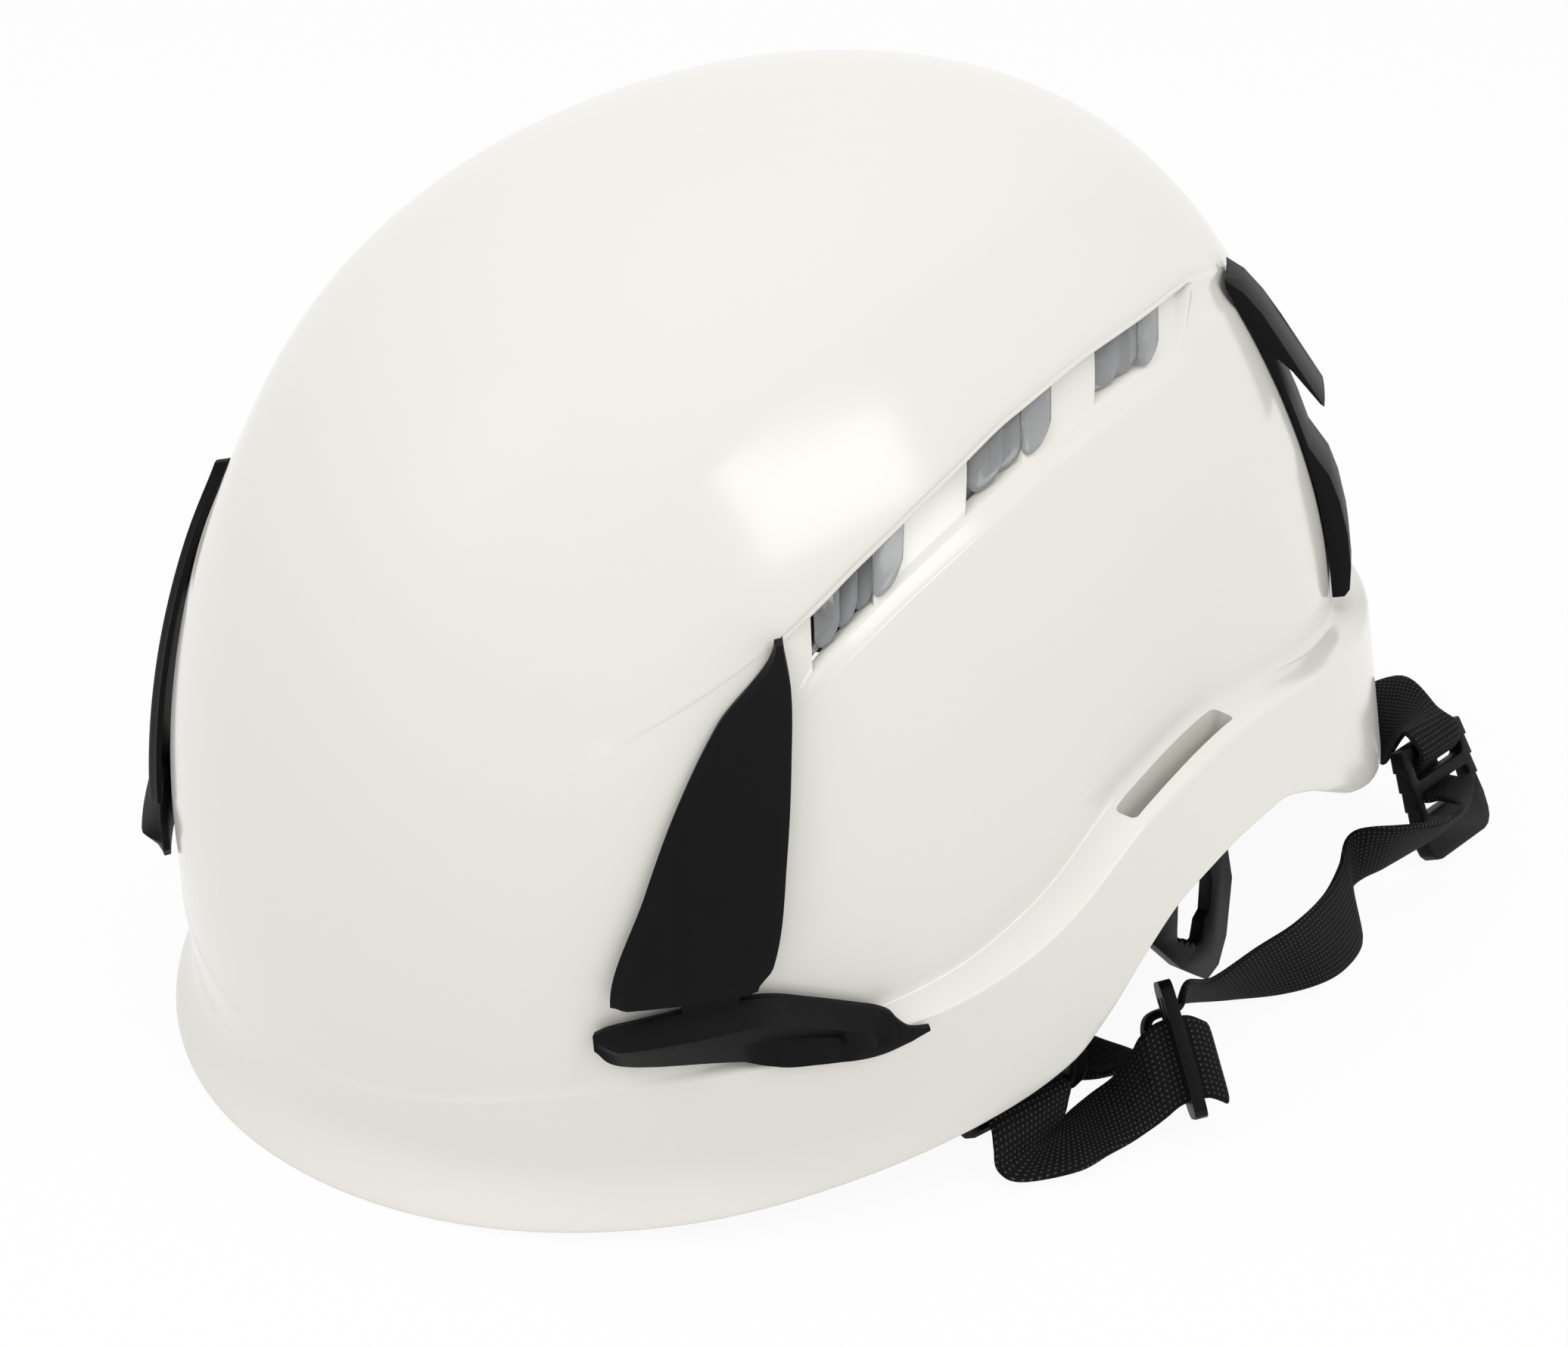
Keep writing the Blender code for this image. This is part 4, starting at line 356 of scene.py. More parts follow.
def bend(start, corner, end, rows):
    """Rows of a rounded corner between two points, each given as (radius, z) columns."""
    out = []
    for t in np.linspace(0, 1, rows):
        out.append(tuple((1 - t) ** 2 * s + 2 * t * (1 - t) * c + t * t * e
                         for s, c, e in zip(start, corner, end)))
    return out


def towards(start, end, length):
    """Point on the way from start to end, in (radius, z) columns."""
    dr, dz = end[0] - start[0], end[1] - start[1]
    size = np.hypot(dr, dz)
    step = np.minimum(length, 0.4 * size) / size
    return start[0] + dr * step, start[1] + dz * step


def upper_rows(angles, inner):
    """Crown, lip, channel floor, sill and panel as lists of (turned angle, radius, z) columns."""
    inset = WALL if inner else 0.0
    deep, tilt = channel(angles), lean(angles)
    hood = (WALL + GAP) * deep if inner else 0.0 * deep
    band = BAND_DEPTH * plateau(angles, BAND_SPAN) * (not inner)
    rows = []
    top = DOME_HEIGHT - inset
    for t in np.linspace(0, 1, CROWN_ROWS + 1)[1:]:
        turned = angles + tilt * t ** 3
        edge = line_mm(CROWN_EDGE, turned) + 1.4 * hood
        last = np.arcsin(np.minimum((edge / top) ** (1 / DOME_SIDE_POWER), 1))
        z = top * np.sin(np.pi / 2 + (last - np.pi / 2) * t) ** DOME_SIDE_POWER
        rows.append((turned, dome_radius(turned, z, inset), z))
    for drop, depth in LIP_STEPS:
        turned = angles + tilt
        z = line_mm(CROWN_EDGE, turned) + 0.7 * hood - drop * MM
        rows.append((turned, dome_radius(turned, z, inset) - depth * MM * deep, z))
    lip_drop, lip_depth = LIP_STEPS[-1]
    sill_rise, sill_depth = SILL_STEPS[0]
    for t in np.linspace(0, 1, FLOOR_ROWS + 2)[1:-1]:
        turned = angles + tilt * (1 - 2 * t)
        high = line_mm(CROWN_EDGE, turned) + 0.7 * hood - lip_drop * MM
        low = line_mm(CHANNEL_LOW, turned) + sill_rise * MM
        z = high + (low - high) * t
        depth = (lip_depth + (sill_depth - lip_depth) * t) * MM * deep + band * 4 * t * (1 - t)
        rows.append((turned, dome_radius(turned, z, inset) - depth, z))
    for k, (rise, depth) in enumerate(SILL_STEPS):
        turned = angles - tilt
        z = line_mm(CHANNEL_LOW, turned) + rise * MM - 0.5 * hood * k / (len(SILL_STEPS) - 1)
        rows.append((turned, dome_radius(turned, z, inset) - depth * MM * deep, z))
    for t in np.linspace(0, 1, PANEL_ROWS + 1)[1:]:
        turned = angles + tilt * (t - 1)
        foot = line_mm(CHANNEL_LOW, turned) + SILL_STEPS[-1][0] * MM - 0.5 * hood
        shelf = line_mm(LEDGE_TOP, turned) - inset + LEDGE_FILLET
        z = foot + (shelf - foot) * t
        rows.append((turned, dome_radius(turned, z, inset), z))
    return rows


def lower_rows(angles, inner):
    """Ledge, skirt and rim below the panel, as (angle, radius, z) columns."""
    inset = WALL if inner else 0.0
    ledge, wide = line_mm(LEDGE_TOP, angles), line_mm(LEDGE_WIDTH, angles)
    rim, reach = line_mm(RIM_LOW, angles), dome_radius(angles, 0.0) + line_mm(RIM_OVERHANG, angles)
    crease, flare = line_mm(CREASE_HEIGHT, angles), line(FLARE, angles)
    brow = ledge - LEDGE_FALL
    brow_radius = dome_radius(angles, brow) + wide
    straight = brow_radius + (reach - brow_radius) * (brow - crease) / (brow - rim)
    waist = (flare * dome_radius(angles, crease) + (1 - flare) * straight - inset, crease - 0.3 * inset * flare)
    corner = (dome_radius(angles, ledge - inset, inset), ledge - inset)
    above = (dome_radius(angles, corner[1] + LEDGE_FILLET, inset), corner[1] + LEDGE_FILLET)
    lip = (brow_radius - inset, brow - inset)
    end = (reach - inset, rim)
    rows = bend(above, corner, towards(corner, lip, LEDGE_FILLET), FILLET_ROWS + 1)[1:]
    rows += bend(towards(lip, corner, LEDGE_ROUND), lip, towards(lip, waist, LEDGE_ROUND), FILLET_ROWS)
    skirt = []
    for t in np.linspace(0, 1, SKIRT_ROWS // 2 + 1)[1:]:
        skirt.append(tuple(a + (b - a) * t for a, b in zip(rows[-1], waist)))
    last = towards(end, waist, RIM_ROUND)
    for t in np.linspace(0, 1, SKIRT_ROWS // 2 + 1)[1:]:
        bow = flare * FLARE_BOW * math.sin(math.pi * t)
        skirt.append((waist[0] + (last[0] - waist[0]) * t - bow, waist[1] + (last[1] - waist[1]) * t))
    run = np.array([rows[-1]] + skirt)
    for _ in range(SKIRT_SOFTENING):
        run[1:-1] = 0.25 * run[:-2] + 0.5 * run[1:-1] + 0.25 * run[2:]
    rows += [tuple(step) for step in run[1:]]
    inward = RIM_ROUND if inner else -RIM_ROUND
    rows += bend(last, end, (end[0] + inward, end[1]), FILLET_ROWS)[1:]
    return [(angles, radius, z) for radius, z in rows]


def crown_relief(points):
    """Lowers the crown beside its crease and raises the small gate mark on its top."""
    x, y = abs(points[..., 0]), points[..., 1]
    past = (x - line_mm(CROWN_CREASE, y / MM)) / CREASE_SOFT
    out = CREASE_SOFT * np.where(past > 20, past, np.log1p(np.exp(np.minimum(past, 20)))) / CREASE_RUN
    drop = CREASE_DROP * out * np.exp(1 - out) * plateau(y / MM, CREASE_FADE)
    dx, dy = (points[..., 0] - GATE_AT[0]) / GATE_SIZE[0], (y - GATE_AT[1]) / GATE_SIZE[1]
    gate = GATE_TALL * np.exp(-(dx * dx + dy * dy) ** 2)
    moved = points.copy()
    moved[..., 2] += gate - drop
    return moved


def shell_grid(angles, inner):
    """Points [station][row] of one face of the shell, for stations from the front to the rear on the left."""
    rows = upper_rows(angles, inner) + lower_rows(angles, inner)
    grid = np.stack([polar(turned, radius, z) for turned, radius, z in rows], axis=1)
    if not inner:
        grid[:, :CROWN_ROWS] = crown_relief(grid[:, :CROWN_ROWS])
    return grid


def both_sides(grid):
    """Goes round the shell: the left half from front to rear, then its mirror image back to the front."""
    return np.concatenate([grid, grid[-2:0:-1] * (-1, 1, 1)])


def open_spans():
    """Ends of the vents' openings in degrees."""
    return [(low, low + (high - low) * share) for (low, high), share in zip(VENTS, VENT_OPEN)]


def shell_stations():
    edges = [0.0, CHANNEL_START, CHANNEL_FULL, 180.0]
    edges += [CHANNEL_END - CHANNEL_END_RUN, CHANNEL_END + CHANNEL_END_RUN]
    edges += [a for span in open_spans() for a in span]
    edges.sort()
    angles = []
    for a, b in zip(edges, edges[1:]):
        count = max(2, math.ceil((b - a) / STATION_STEP))
        angles += list(np.linspace(a, b, count + 1)[:-1])
    return np.array(angles + [180.0])


def skin(outer, inner, holes=None, closed=False, poles=None):
    """Closed mesh between two grids of points [station][row], with walls round its borders and holes."""
    outer, inner = np.asarray(outer, float), np.asarray(inner, float)
    stations, rows = outer.shape[:2]
    spans = stations if closed else stations - 1
    solid = np.ones((spans, rows - 1), bool) if holes is None else ~holes
    index = np.arange(stations * rows).reshape(stations, rows)
    after = np.roll(index, -1, axis=0)
    far = stations * rows
    corner = [index[:spans, :-1], after[:spans, :-1], after[:spans, 1:], index[:spans, 1:]]
    quads = np.stack([c[solid] for c in corner], axis=1)
    faces = quads.tolist() + (quads[:, ::-1] + far).tolist()
    beside = np.zeros((spans + 2, rows + 1), bool)
    beside[1:-1, 1:-1] = solid
    if closed:
        beside[0, 1:-1], beside[-1, 1:-1] = solid[-1], solid[0]
    if poles is not None:
        beside[:, 0] = True
    neighbours = [beside[1:-1, :-2], beside[2:, 1:-1], beside[1:-1, 2:], beside[:-2, 1:-1]]
    for k, near in enumerate(neighbours):
        border = solid & ~near
        p, q = corner[k][border], corner[(k + 1) % 4][border]
        faces += np.stack([q, p, p + far, q + far], axis=1).tolist()
    points = np.concatenate([outer.reshape(-1, 3), inner.reshape(-1, 3)])
    if poles is not None:
        points = np.concatenate([points, np.array(poles, float)])
        for k in range(stations):
            a, b = int(index[k, 0]), int(after[k, 0])
            faces.append([2 * far, b, a])
            faces.append([2 * far + 1, a + far, b + far])
    return plain_mesh(points, faces)


def loft(rings):
    """Closed mesh through rings of points, with a face over each end."""
    count, size = rings.shape[:2]
    faces = []
    for i in range(count - 1):
        for k in range(size):
            n = (k + 1) % size
            faces.append([i * size + k, i * size + n, (i + 1) * size + n, (i + 1) * size + k])
    faces.append(list(range(size)))
    faces.append([(count - 1) * size + k for k in range(size)][::-1])
    return plain_mesh(rings.reshape(-1, 3), faces)


def plain_mesh(points, faces):
    mesh = bpy.data.meshes.new("piece")
    mesh.from_pydata([tuple(p) for p in points], [], faces)
    bm = bmesh.new()
    bm.from_mesh(mesh)
    bmesh.ops.delete(bm, geom=[v for v in bm.verts if not v.link_faces], context="VERTS")
    bmesh.ops.recalc_face_normals(bm, faces=bm.faces)
    bm.to_mesh(mesh)
    bm.free()
    return mesh


def joined(meshes):
    """One mesh from several."""
    bm = bmesh.new()
    for mesh in meshes:
        bm.from_mesh(mesh)
    out = bpy.data.meshes.new("joined")
    bm.to_mesh(out)
    bm.free()
    return out


def prism(outline, low, high):
    """Upright prism over an outline of (x, y) points."""
    bm = bmesh.new()
    foot = [bm.verts.new((x, y, low)) for x, y in outline]
    head = [bm.verts.new((x, y, high)) for x, y in outline]
    bm.faces.new(foot[::-1])
    bm.faces.new(head)
    for k in range(len(outline)):
        n = (k + 1) % len(outline)
        bm.faces.new([foot[k], foot[n], head[n], head[k]])
    bmesh.ops.recalc_face_normals(bm, faces=bm.faces)
    mesh = bpy.data.meshes.new("prism")
    bm.to_mesh(mesh)
    bm.free()
    return mesh


def rounded_box(low, high, radius, steps=6):
    """Outline of a rectangle with round corners, from its low and high corners."""
    points = []
    middle = [(a + b) / 2 for a, b in zip(low, high)]
    half = [(b - a) / 2 - radius for a, b in zip(low, high)]
    for turn, (sx, sy) in enumerate([(1, 1), (-1, 1), (-1, -1), (1, -1)]):
        for k in range(steps + 1):
            a = math.pi / 2 * (turn + k / steps)
            points.append((middle[0] + sx * half[0] + radius * math.cos(a),
                           middle[1] + sy * half[1] + radius * math.sin(a)))
    return points


def cut(mesh, tool):
    """Mesh less a tool."""
    items = [bpy.data.objects.new(name, data) for name, data in (("body", mesh), ("tool", tool))]
    for item in items:
        bpy.context.scene.collection.objects.link(item)
    step = items[0].modifiers.new("cut", "BOOLEAN")
    step.operation = "DIFFERENCE"
    step.solver = "EXACT"
    step.object = items[1]
    graph = bpy.context.evaluated_depsgraph_get()
    out = bpy.data.meshes.new_from_object(items[0].evaluated_get(graph))
    for item in items:
        bpy.data.objects.remove(item, do_unlink=True)
    return out


def mirror_mesh(mesh):
    out = mesh.copy()
    out.transform(Matrix.Scale(-1, 4, (1, 0, 0)))
    out.flip_normals()
    return out


def rounded_edges(mesh, width, angle=28.0, segments=2):
    """Mesh with its flat faces joined and its edges rounded."""
    bm = bmesh.new()
    bm.from_mesh(mesh)
    bmesh.ops.remove_doubles(bm, verts=bm.verts, dist=2e-6)
    bmesh.ops.dissolve_limit(bm, angle_limit=math.radians(2.0), verts=bm.verts, edges=bm.edges)
    sharp = [e for e in bm.edges if e.calc_face_angle(0.0) > math.radians(angle)]
    bmesh.ops.bevel(bm, geom=sharp, offset=width, offset_type="OFFSET", segments=segments, profile=0.5,
                    affect="EDGES", clamp_overlap=True)
    out = bpy.data.meshes.new("rounded")
    bm.to_mesh(out)
    bm.free()
    return out


def piece(name, mesh, look, nodes, matrix=None, body="helmet", sharp=32.0):
    """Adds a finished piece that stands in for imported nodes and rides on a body."""
    if matrix is not None:
        mesh.transform(matrix)
    mesh.name = name
    mesh.materials.clear()
    mesh.materials.append(LOOKS[look])
    mesh.shade_smooth()
    mesh.set_sharp_from_angle(angle=math.radians(sharp))
    item = bpy.data.objects.new(name, mesh)
    bpy.context.scene.collection.objects.link(item)
    if body is not None:
        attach(item, body)
    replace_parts(item, *nodes)
    return item


def two_pieces(name, mesh, look, node, matrix=None, sharp=32.0):
    """Left piece and its mirror image on the right."""
    other = mirror_mesh(mesh)
    left = piece(f"{name}_left", mesh, look, [f"{node}_left"], matrix, sharp=sharp)
    right = piece(f"{name}_right", other, look, [f"{node}_right"], matrix, sharp=sharp)
    return left, right


class Graph:
    """Short way to write a material's nodes."""

    def __init__(self, name):
        self.material = bpy.data.materials.new(name)
        self.material.use_nodes = True
        self.nodes = self.material.node_tree.nodes
        self.links = self.material.node_tree.links
        self.shader = self.nodes["Principled BSDF"]

    def add(self, kind, inputs=None, **settings):
        node = self.nodes.new(kind)
        for key, value in settings.items():
            setattr(node, key, value)
        for key, value in (inputs or {}).items():
            self.put(node, key, value)
        return node

    def put(self, node, key, value):
        if isinstance(value, bpy.types.NodeSocket):
            self.links.new(value, node.inputs[key])
        else:
            node.inputs[key].default_value = value

    def math(self, operation, a, b=0.0):
        return self.add("ShaderNodeMath", {0: a, 1: b}, operation=operation).outputs[0]

    def noise(self, scale, detail=3.0, vector=None):
        inputs = {"Scale": scale, "Detail": detail}
        if vector is not None:
            inputs["Vector"] = vector
        return self.add("ShaderNodeTexNoise", inputs).outputs["Fac"]

    def place(self):
        return self.add("ShaderNodeTexCoord").outputs["Object"]

    def mix(self, share, a, b):
        """Colour between two colours."""
        node = self.add("ShaderNodeMix", data_type="RGBA")
        self.put(node, 0, share)
        for key, value in ((6, a), (7, b)):
            self.put(node, key, value if isinstance(value, bpy.types.NodeSocket) else (*value, 1.0))
        return node.outputs[2]

    def ranged(self, value, low, high):
        return self.add("ShaderNodeMapRange", {0: value, 3: low, 4: high}).outputs[0]

    def bump(self, height, strength, distance):
        inputs = {"Height": height, "Strength": strength, "Distance": distance}
        return self.add("ShaderNodeBump", inputs).outputs[0]

    def set(self, **values):
        for key, value in values.items():
            self.put(self.shader, key.replace("_", " "), value)


def shell_look():
    g = Graph("gloss_white_shell")
    place = g.place()
    cloud = g.noise(9.0, 2.0, place)
    g.set(Base_Color=g.mix(cloud, (0.800, 0.785, 0.735), (0.830, 0.815, 0.765)),
          Roughness=g.ranged(g.noise(60.0, 2.0, place), 0.13, 0.19),
          Normal=g.bump(g.noise(35.0, 1.0, place), 0.02, 0.001),
          IOR=1.48)
    return g.material


def louvre_look():
    g = Graph("clear_grey_louvre")
    place = g.place()
    tint = g.mix(g.noise(120.0, 2.0, place), (0.60, 0.61, 0.62), (0.70, 0.71, 0.72))
    g.set(Base_Color=tint, Roughness=g.ranged(g.noise(200.0, 2.0, place), 0.1, 0.22), IOR=1.45)
    g.set(Transmission_Weight=0.72)
    return g.material


def moulding_look():
    g = Graph("grained_black_moulding")
    place = g.place()
    grain = g.noise(2600.0, 2.0, place)
    cloud = g.noise(90.0, 2.0, place)
    g.set(Base_Color=g.mix(cloud, (0.0022, 0.0022, 0.0024), (0.0038, 0.0038, 0.0041)),
          Roughness=g.ranged(grain, 0.38, 0.58),
          Normal=g.bump(grain, 0.16, 0.0002))
    g.shader.inputs["Specular IOR Level"].default_value = 0.12
    return g.material


def webbing_look():
    """Plain weave from a strap's own length and width, with painted highlights: small bright specks on the
    yarns' crowns.
    """
    g = Graph("woven_black_webbing")
    split = g.add("ShaderNodeSeparateXYZ", {0: g.add("ShaderNodeUVMap", uv_map="strap").outputs[0]})
    across = g.math("SINE", g.math("MULTIPLY", split.outputs[0], math.pi / YARN))
    along = g.math("SINE", g.math("MULTIPLY", split.outputs[1], math.pi / YARN))
    weave = g.math("MULTIPLY", across, along)
    crown = g.math("ABSOLUTE", weave)
    place = g.place()
    fibre = g.noise(3800.0, 3.0, place)
    # Painted highlight: bright specks where the weave's yarn crowns peak, varied by the fibre noise.
    painted_yarn_glint = g.math("MULTIPLY", g.math("POWER", crown, 5.0), g.ranged(fibre, 0.0, 1.3))
    share = g.math("MAXIMUM", painted_yarn_glint, g.math("MULTIPLY", fibre, 0.12))
    # The lighter colour is partly painted highlight on the yarn crowns and partly the fibre's own random tone.
    g.set(Base_Color=g.mix(share, (0.0018, 0.0018, 0.0020), (0.11, 0.11, 0.115)),
          Roughness=g.ranged(fibre, 0.55, 0.85),
          Normal=g.bump(g.math("ADD", crown, g.math("MULTIPLY", fibre, 0.3)), 0.6, 0.0003))
    g.shader.inputs["Specular IOR Level"].default_value = 0.06
    return g.material


def foam_look():
    g = Graph("fabric_faced_foam")
    place = g.place()
    knit = g.noise(1500.0, 2.0, place)
    g.set(Base_Color=g.mix(knit, (0.018, 0.018, 0.020), (0.034, 0.034, 0.037)),
          Roughness=g.ranged(knit, 0.85, 0.98),
          Normal=g.bump(knit, 0.4, 0.0004))
    return g.material


def steel_look():
    g = Graph("brushed_steel_screw")
    place = g.place()
    fine = g.noise(900.0, 3.0, place)
    g.set(Base_Color=g.mix(fine, (0.42, 0.42, 0.44), (0.58, 0.58, 0.60)), Roughness=g.ranged(fine, 0.22, 0.4))
    g.shader.inputs["Metallic"].default_value = 1.0
    return g.material


def make_shell():
    half = shell_stations()
    outer, inner = (both_sides(shell_grid(half, side)) for side in (False, True))
    around = np.concatenate([half, -half[-2:0:-1]])
    middles = abs(around + np.roll(around, -1)) / 2
    middles[len(half) - 1] = 180 - STATION_STEP / 2
    open_here = np.any([(middles > a) & (middles < b) for a, b in open_spans()], axis=0)
    holes = np.zeros((len(around), outer.shape[1] - 1), bool)
    holes[open_here, VENT_TOP_ROW:VENT_TOP_ROW + FLOOR_ROWS + 1] = True
    poles = [(0, 0, DOME_HEIGHT), (0, 0, DOME_HEIGHT - WALL)]
    shell = skin(outer, inner, holes, True, poles)
    ledge = line_mm(LEDGE_TOP, 90)
    low = ledge - SLOT_DEPTH
    inside = ((SLOT_INNER, SLOT_FRONT), (SLOT_INNER + SLOT_WIDTH, SLOT_FRONT + SLOT_LENGTH))
    sleeve_in, sleeve_out = ([tuple(v + side * grow for v in corner) for corner, side in zip(inside, (-1, 1))]
                             for grow in (SLEEVE_GAP, SLOT_WALL))
    slot = prism(rounded_box(*inside, SLOT_ROUND), low - SLOT_DEPTH, ledge + SLOT_DEPTH)
    shell = cut(shell, joined([slot, mirror_mesh(slot)]))
    walls = []
    for outline in (rounded_box(*sleeve_out, SLOT_ROUND + SLOT_WALL), rounded_box(*sleeve_in, SLOT_ROUND)):
        walls.append([[(x, y, low), (x, y, sleeve_top(x, y))] for x, y in outline])
    sleeve = skin(*walls, closed=True)
    shell = joined([shell, sleeve, mirror_mesh(sleeve)])
    piece("helmet_shell", shell, "shell_white", ["shell"], HELMET, sharp=40.0)


def sleeve_top(x, y):
    """Height inside the ledge's wall at which the slot's sleeve ends."""
    return line_mm(LEDGE_TOP, math.degrees(math.atan2(x, -y))) - LEDGE_FALL - SLEEVE_SINK


def vent_edges(angles, inner):
    """Points along the vents' upper and lower edges on one face, and the way out there."""
    rows = upper_rows(angles, inner)
    top, low = (polar(*rows[VENT_TOP_ROW + k]) for k in (0, FLOOR_ROWS + 1))
    return top, low, polar(angles, np.ones(len(angles)), np.zeros(len(angles)))


def rail_mesh(low_share, high_share):
    """Strip behind the wall along all vents, that carries the slats."""
    angles = np.linspace(VENTS[0][0] - LOUVRE_MARGIN, VENTS[-1][1] + LOUVRE_MARGIN, RAIL_COLUMNS)
    top, low, out = vent_edges(angles, True)
    front = [low + (top - low) * share - out * 3 * GAP for share in (low_share, high_share)]
    back = [spot - out * LOUVRE_THICK for spot in front]
    return skin(np.stack(front, axis=1), np.stack(back, axis=1))


def slat_mesh(start, end, over):
    """Slat with a rounded foot, leaning in at its front edge, or lying over the channel's floor."""
    u = np.linspace(0, 1, SLAT_COLUMNS)
    top, low, out = vent_edges(start + (end - start) * u, False)
    lift = SLAT_PROUD + SLAT_THICK if over else SLAT_PROUD - SLAT_DEEP * (1 - u)
    foot = SLAT_FOOT + SLAT_CORNER * abs(2 * u - 1) ** 3
    face, back = [], []
    for t in np.linspace(0, 1, SLAT_ROWS):
        share = foot + (SLAT_TOP - foot) * t
        spot = low + (top - low) * share[:, None]
        rounded = SLAT_THICK * SLAT_NOSE * (1 - min(t / SLAT_NOSE_RUN, 1.0)) ** 2
        face.append(spot + out * np.broadcast_to(lift - rounded, u.shape)[:, None])
        back.append(spot + out * np.broadcast_to(lift - SLAT_THICK, u.shape)[:, None])
    return rounded_edges(skin(np.stack(face, axis=1), np.stack(back, axis=1)), SLAT_ROUND, 40.0)


def make_louvres():
    """Clear rails behind the vents, with overlapping slats in each vent."""
    meshes = [rail_mesh(*rail) for rail in LOUVRE_RAILS]
    for (low, high), slats in zip(VENTS, VENT_SLATS):
        for start, end in slats:
            meshes.append(slat_mesh(low + (high - low) * start, low + (high - low) * end, end > 1.0))
    two_pieces("louvre", joined(meshes), "clear_louvre", "vent_louvre", HELMET)


def sail_mesh():
    """Sail with a bevelled front edge, and a rib down its upper rear edge to the shell."""
    low, high = SAIL_FRONT[0][0], SAIL_FRONT[-1][0]
    z = np.linspace(low, high, SAIL_ROWS + 1)
    front, rear = line(SAIL_FRONT, z), line(SAIL_REAR, z)
    outer, inner = [], []
    for u in np.linspace(0, 1, SAIL_COLUMNS + 1):
        angle = front + (rear - front) * u
        base = dome_radius(angle, z * MM)
        stand = SAIL_STANDOFF * (1 - 0.6 * (z - low) / (high - low))
        bevel = SAIL_BEVEL_FRONT * (1 - smooth(u / 0.13)) + SAIL_BEVEL_REAR * smooth((u - 0.94) / 0.06)
        rib = smooth((u - 0.82) / 0.06) * smooth((z - SAIL_RIB[0]) / (SAIL_RIB[1] - SAIL_RIB[0]))
        outer.append(polar(angle, base + stand + SAIL_THICK - bevel, z * MM))
        inner.append(polar(angle, base + stand * (1 - rib) + SAIL_RIB_GAP * rib, z * MM))
    return skin(outer, inner)


def fin_mesh():
    """Boat-shaped fin on the front end of the ledge, with a ridge along it and a pointed tail."""
    outer, inner = [], []
    for angle, bottom, ridge, back in spline(FIN_LINES, 8):
        nose = smooth((angle - FIN_LINES[0][0]) / FIN_NOSE_RUN + 0.3)
        tail = smooth((FIN_LINES[-1][0] - angle) / FIN_TAIL_RUN + FIN_EDGE)
        heights = [bottom, (bottom + ridge) / 2, ridge, (ridge + back) / 2, back]
        column_out, column_in = [], []
        for z in heights:
            proud = np.interp(z, (bottom, ridge, back), (FIN_EDGE, 1.0, FIN_EDGE)) * nose * tail
            floor = max(wall_radius(angle + da, (z + dz) * MM) for da in (-1.5, 0, 1.5) for dz in (-1, 0, 1))
            face = max(floor + 2 * GAP, dome_radius(angle, z * MM) + FIN_PROUD * proud)
            column_in.append(polar(angle, floor + 1.4 * GAP, z * MM))
            column_out.append(polar(angle, face + 2.6 * GAP, z * MM))
        outer.append(column_out)
        inner.append(column_in)
    return skin(outer, inner)


@functools.lru_cache(maxsize=None)
def wall_profile(angle):
    """Heights and radii of the shell's outer face at an angle, from the rim up."""
    at = np.array([angle])
    rows = upper_rows(at, False)[CROWN_ROWS:] + lower_rows(at, False)
    return np.array([row[2][0] for row in rows])[::-1], np.array([row[1][0] for row in rows])[::-1]


def wall_radius(angle, z):
    """Radius of the shell's outer face at a height."""
    return float(np.interp(z, *wall_profile(round(float(abs(angle)), 4))))


def make_rear_clips():
    """Hook with a free pointed tip, thin strut and plate, following the wall round the shell."""
    rings = []
    for angle in np.linspace(*REAR_CLIP_SPAN, REAR_CLIP_COLUMNS):
        rings.append([polar(angle, dome_radius(angle, z * MM) + off * MM, z * MM)
                      for off, z in REAR_CLIP_OUTLINE])
    mesh = rounded_edges(loft(np.array(rings)), CLIP_ROUND, 35.0)
    two_pieces("rear_clip", mesh, "black_moulding", "rear_lamp_clip", HELMET, sharp=35.0)


def neck_mesh():
    """Short neck between the sail and the fin."""
    outer, inner = [], []
    heights = np.linspace(*NECK_HEIGHTS, 7) * MM
    for angle in np.linspace(*NECK_ANGLES, 5):
        base = dome_radius(angle, heights)
        inner.append(polar(angle, base + NECK_BACK, heights))
        outer.append(polar(angle, base + NECK_FACE, heights))
    return skin(outer, inner)


def make_front_clips():
    fin, neck = rounded_edges(fin_mesh(), CLIP_ROUND, 24.0), rounded_edges(neck_mesh(), NECK_ROUND)
    mesh = joined([sail_mesh(), fin, neck])
    two_pieces("front_clip", mesh, "black_moulding", "front_lamp_clip", HELMET, sharp=24.0)


def spline(points, per_span):
    """Smooth curve through the points, with per_span steps between neighbours."""
    p = np.asarray(points, float)
    padded = np.vstack([2 * p[0] - p[1], p, 2 * p[-1] - p[-2]])
    out = []
    for a, b, c, d in zip(padded, padded[1:], padded[2:], padded[3:]):
        for k in range(per_span):
            t = k / per_span
            out.append(0.5 * (2 * b + (c - a) * t + (2 * a - 5 * b + 4 * c - d) * t ** 2
                              + (3 * b - a - 3 * c + d) * t ** 3))
    return np.array(out + [p[-1]])


def pair(centre, across, width):
    """Two edge points of a strap, from its middle and the direction across it."""
    half = unit(across) * width / 2
    return (np.asarray(centre) - half, np.asarray(centre) + half)


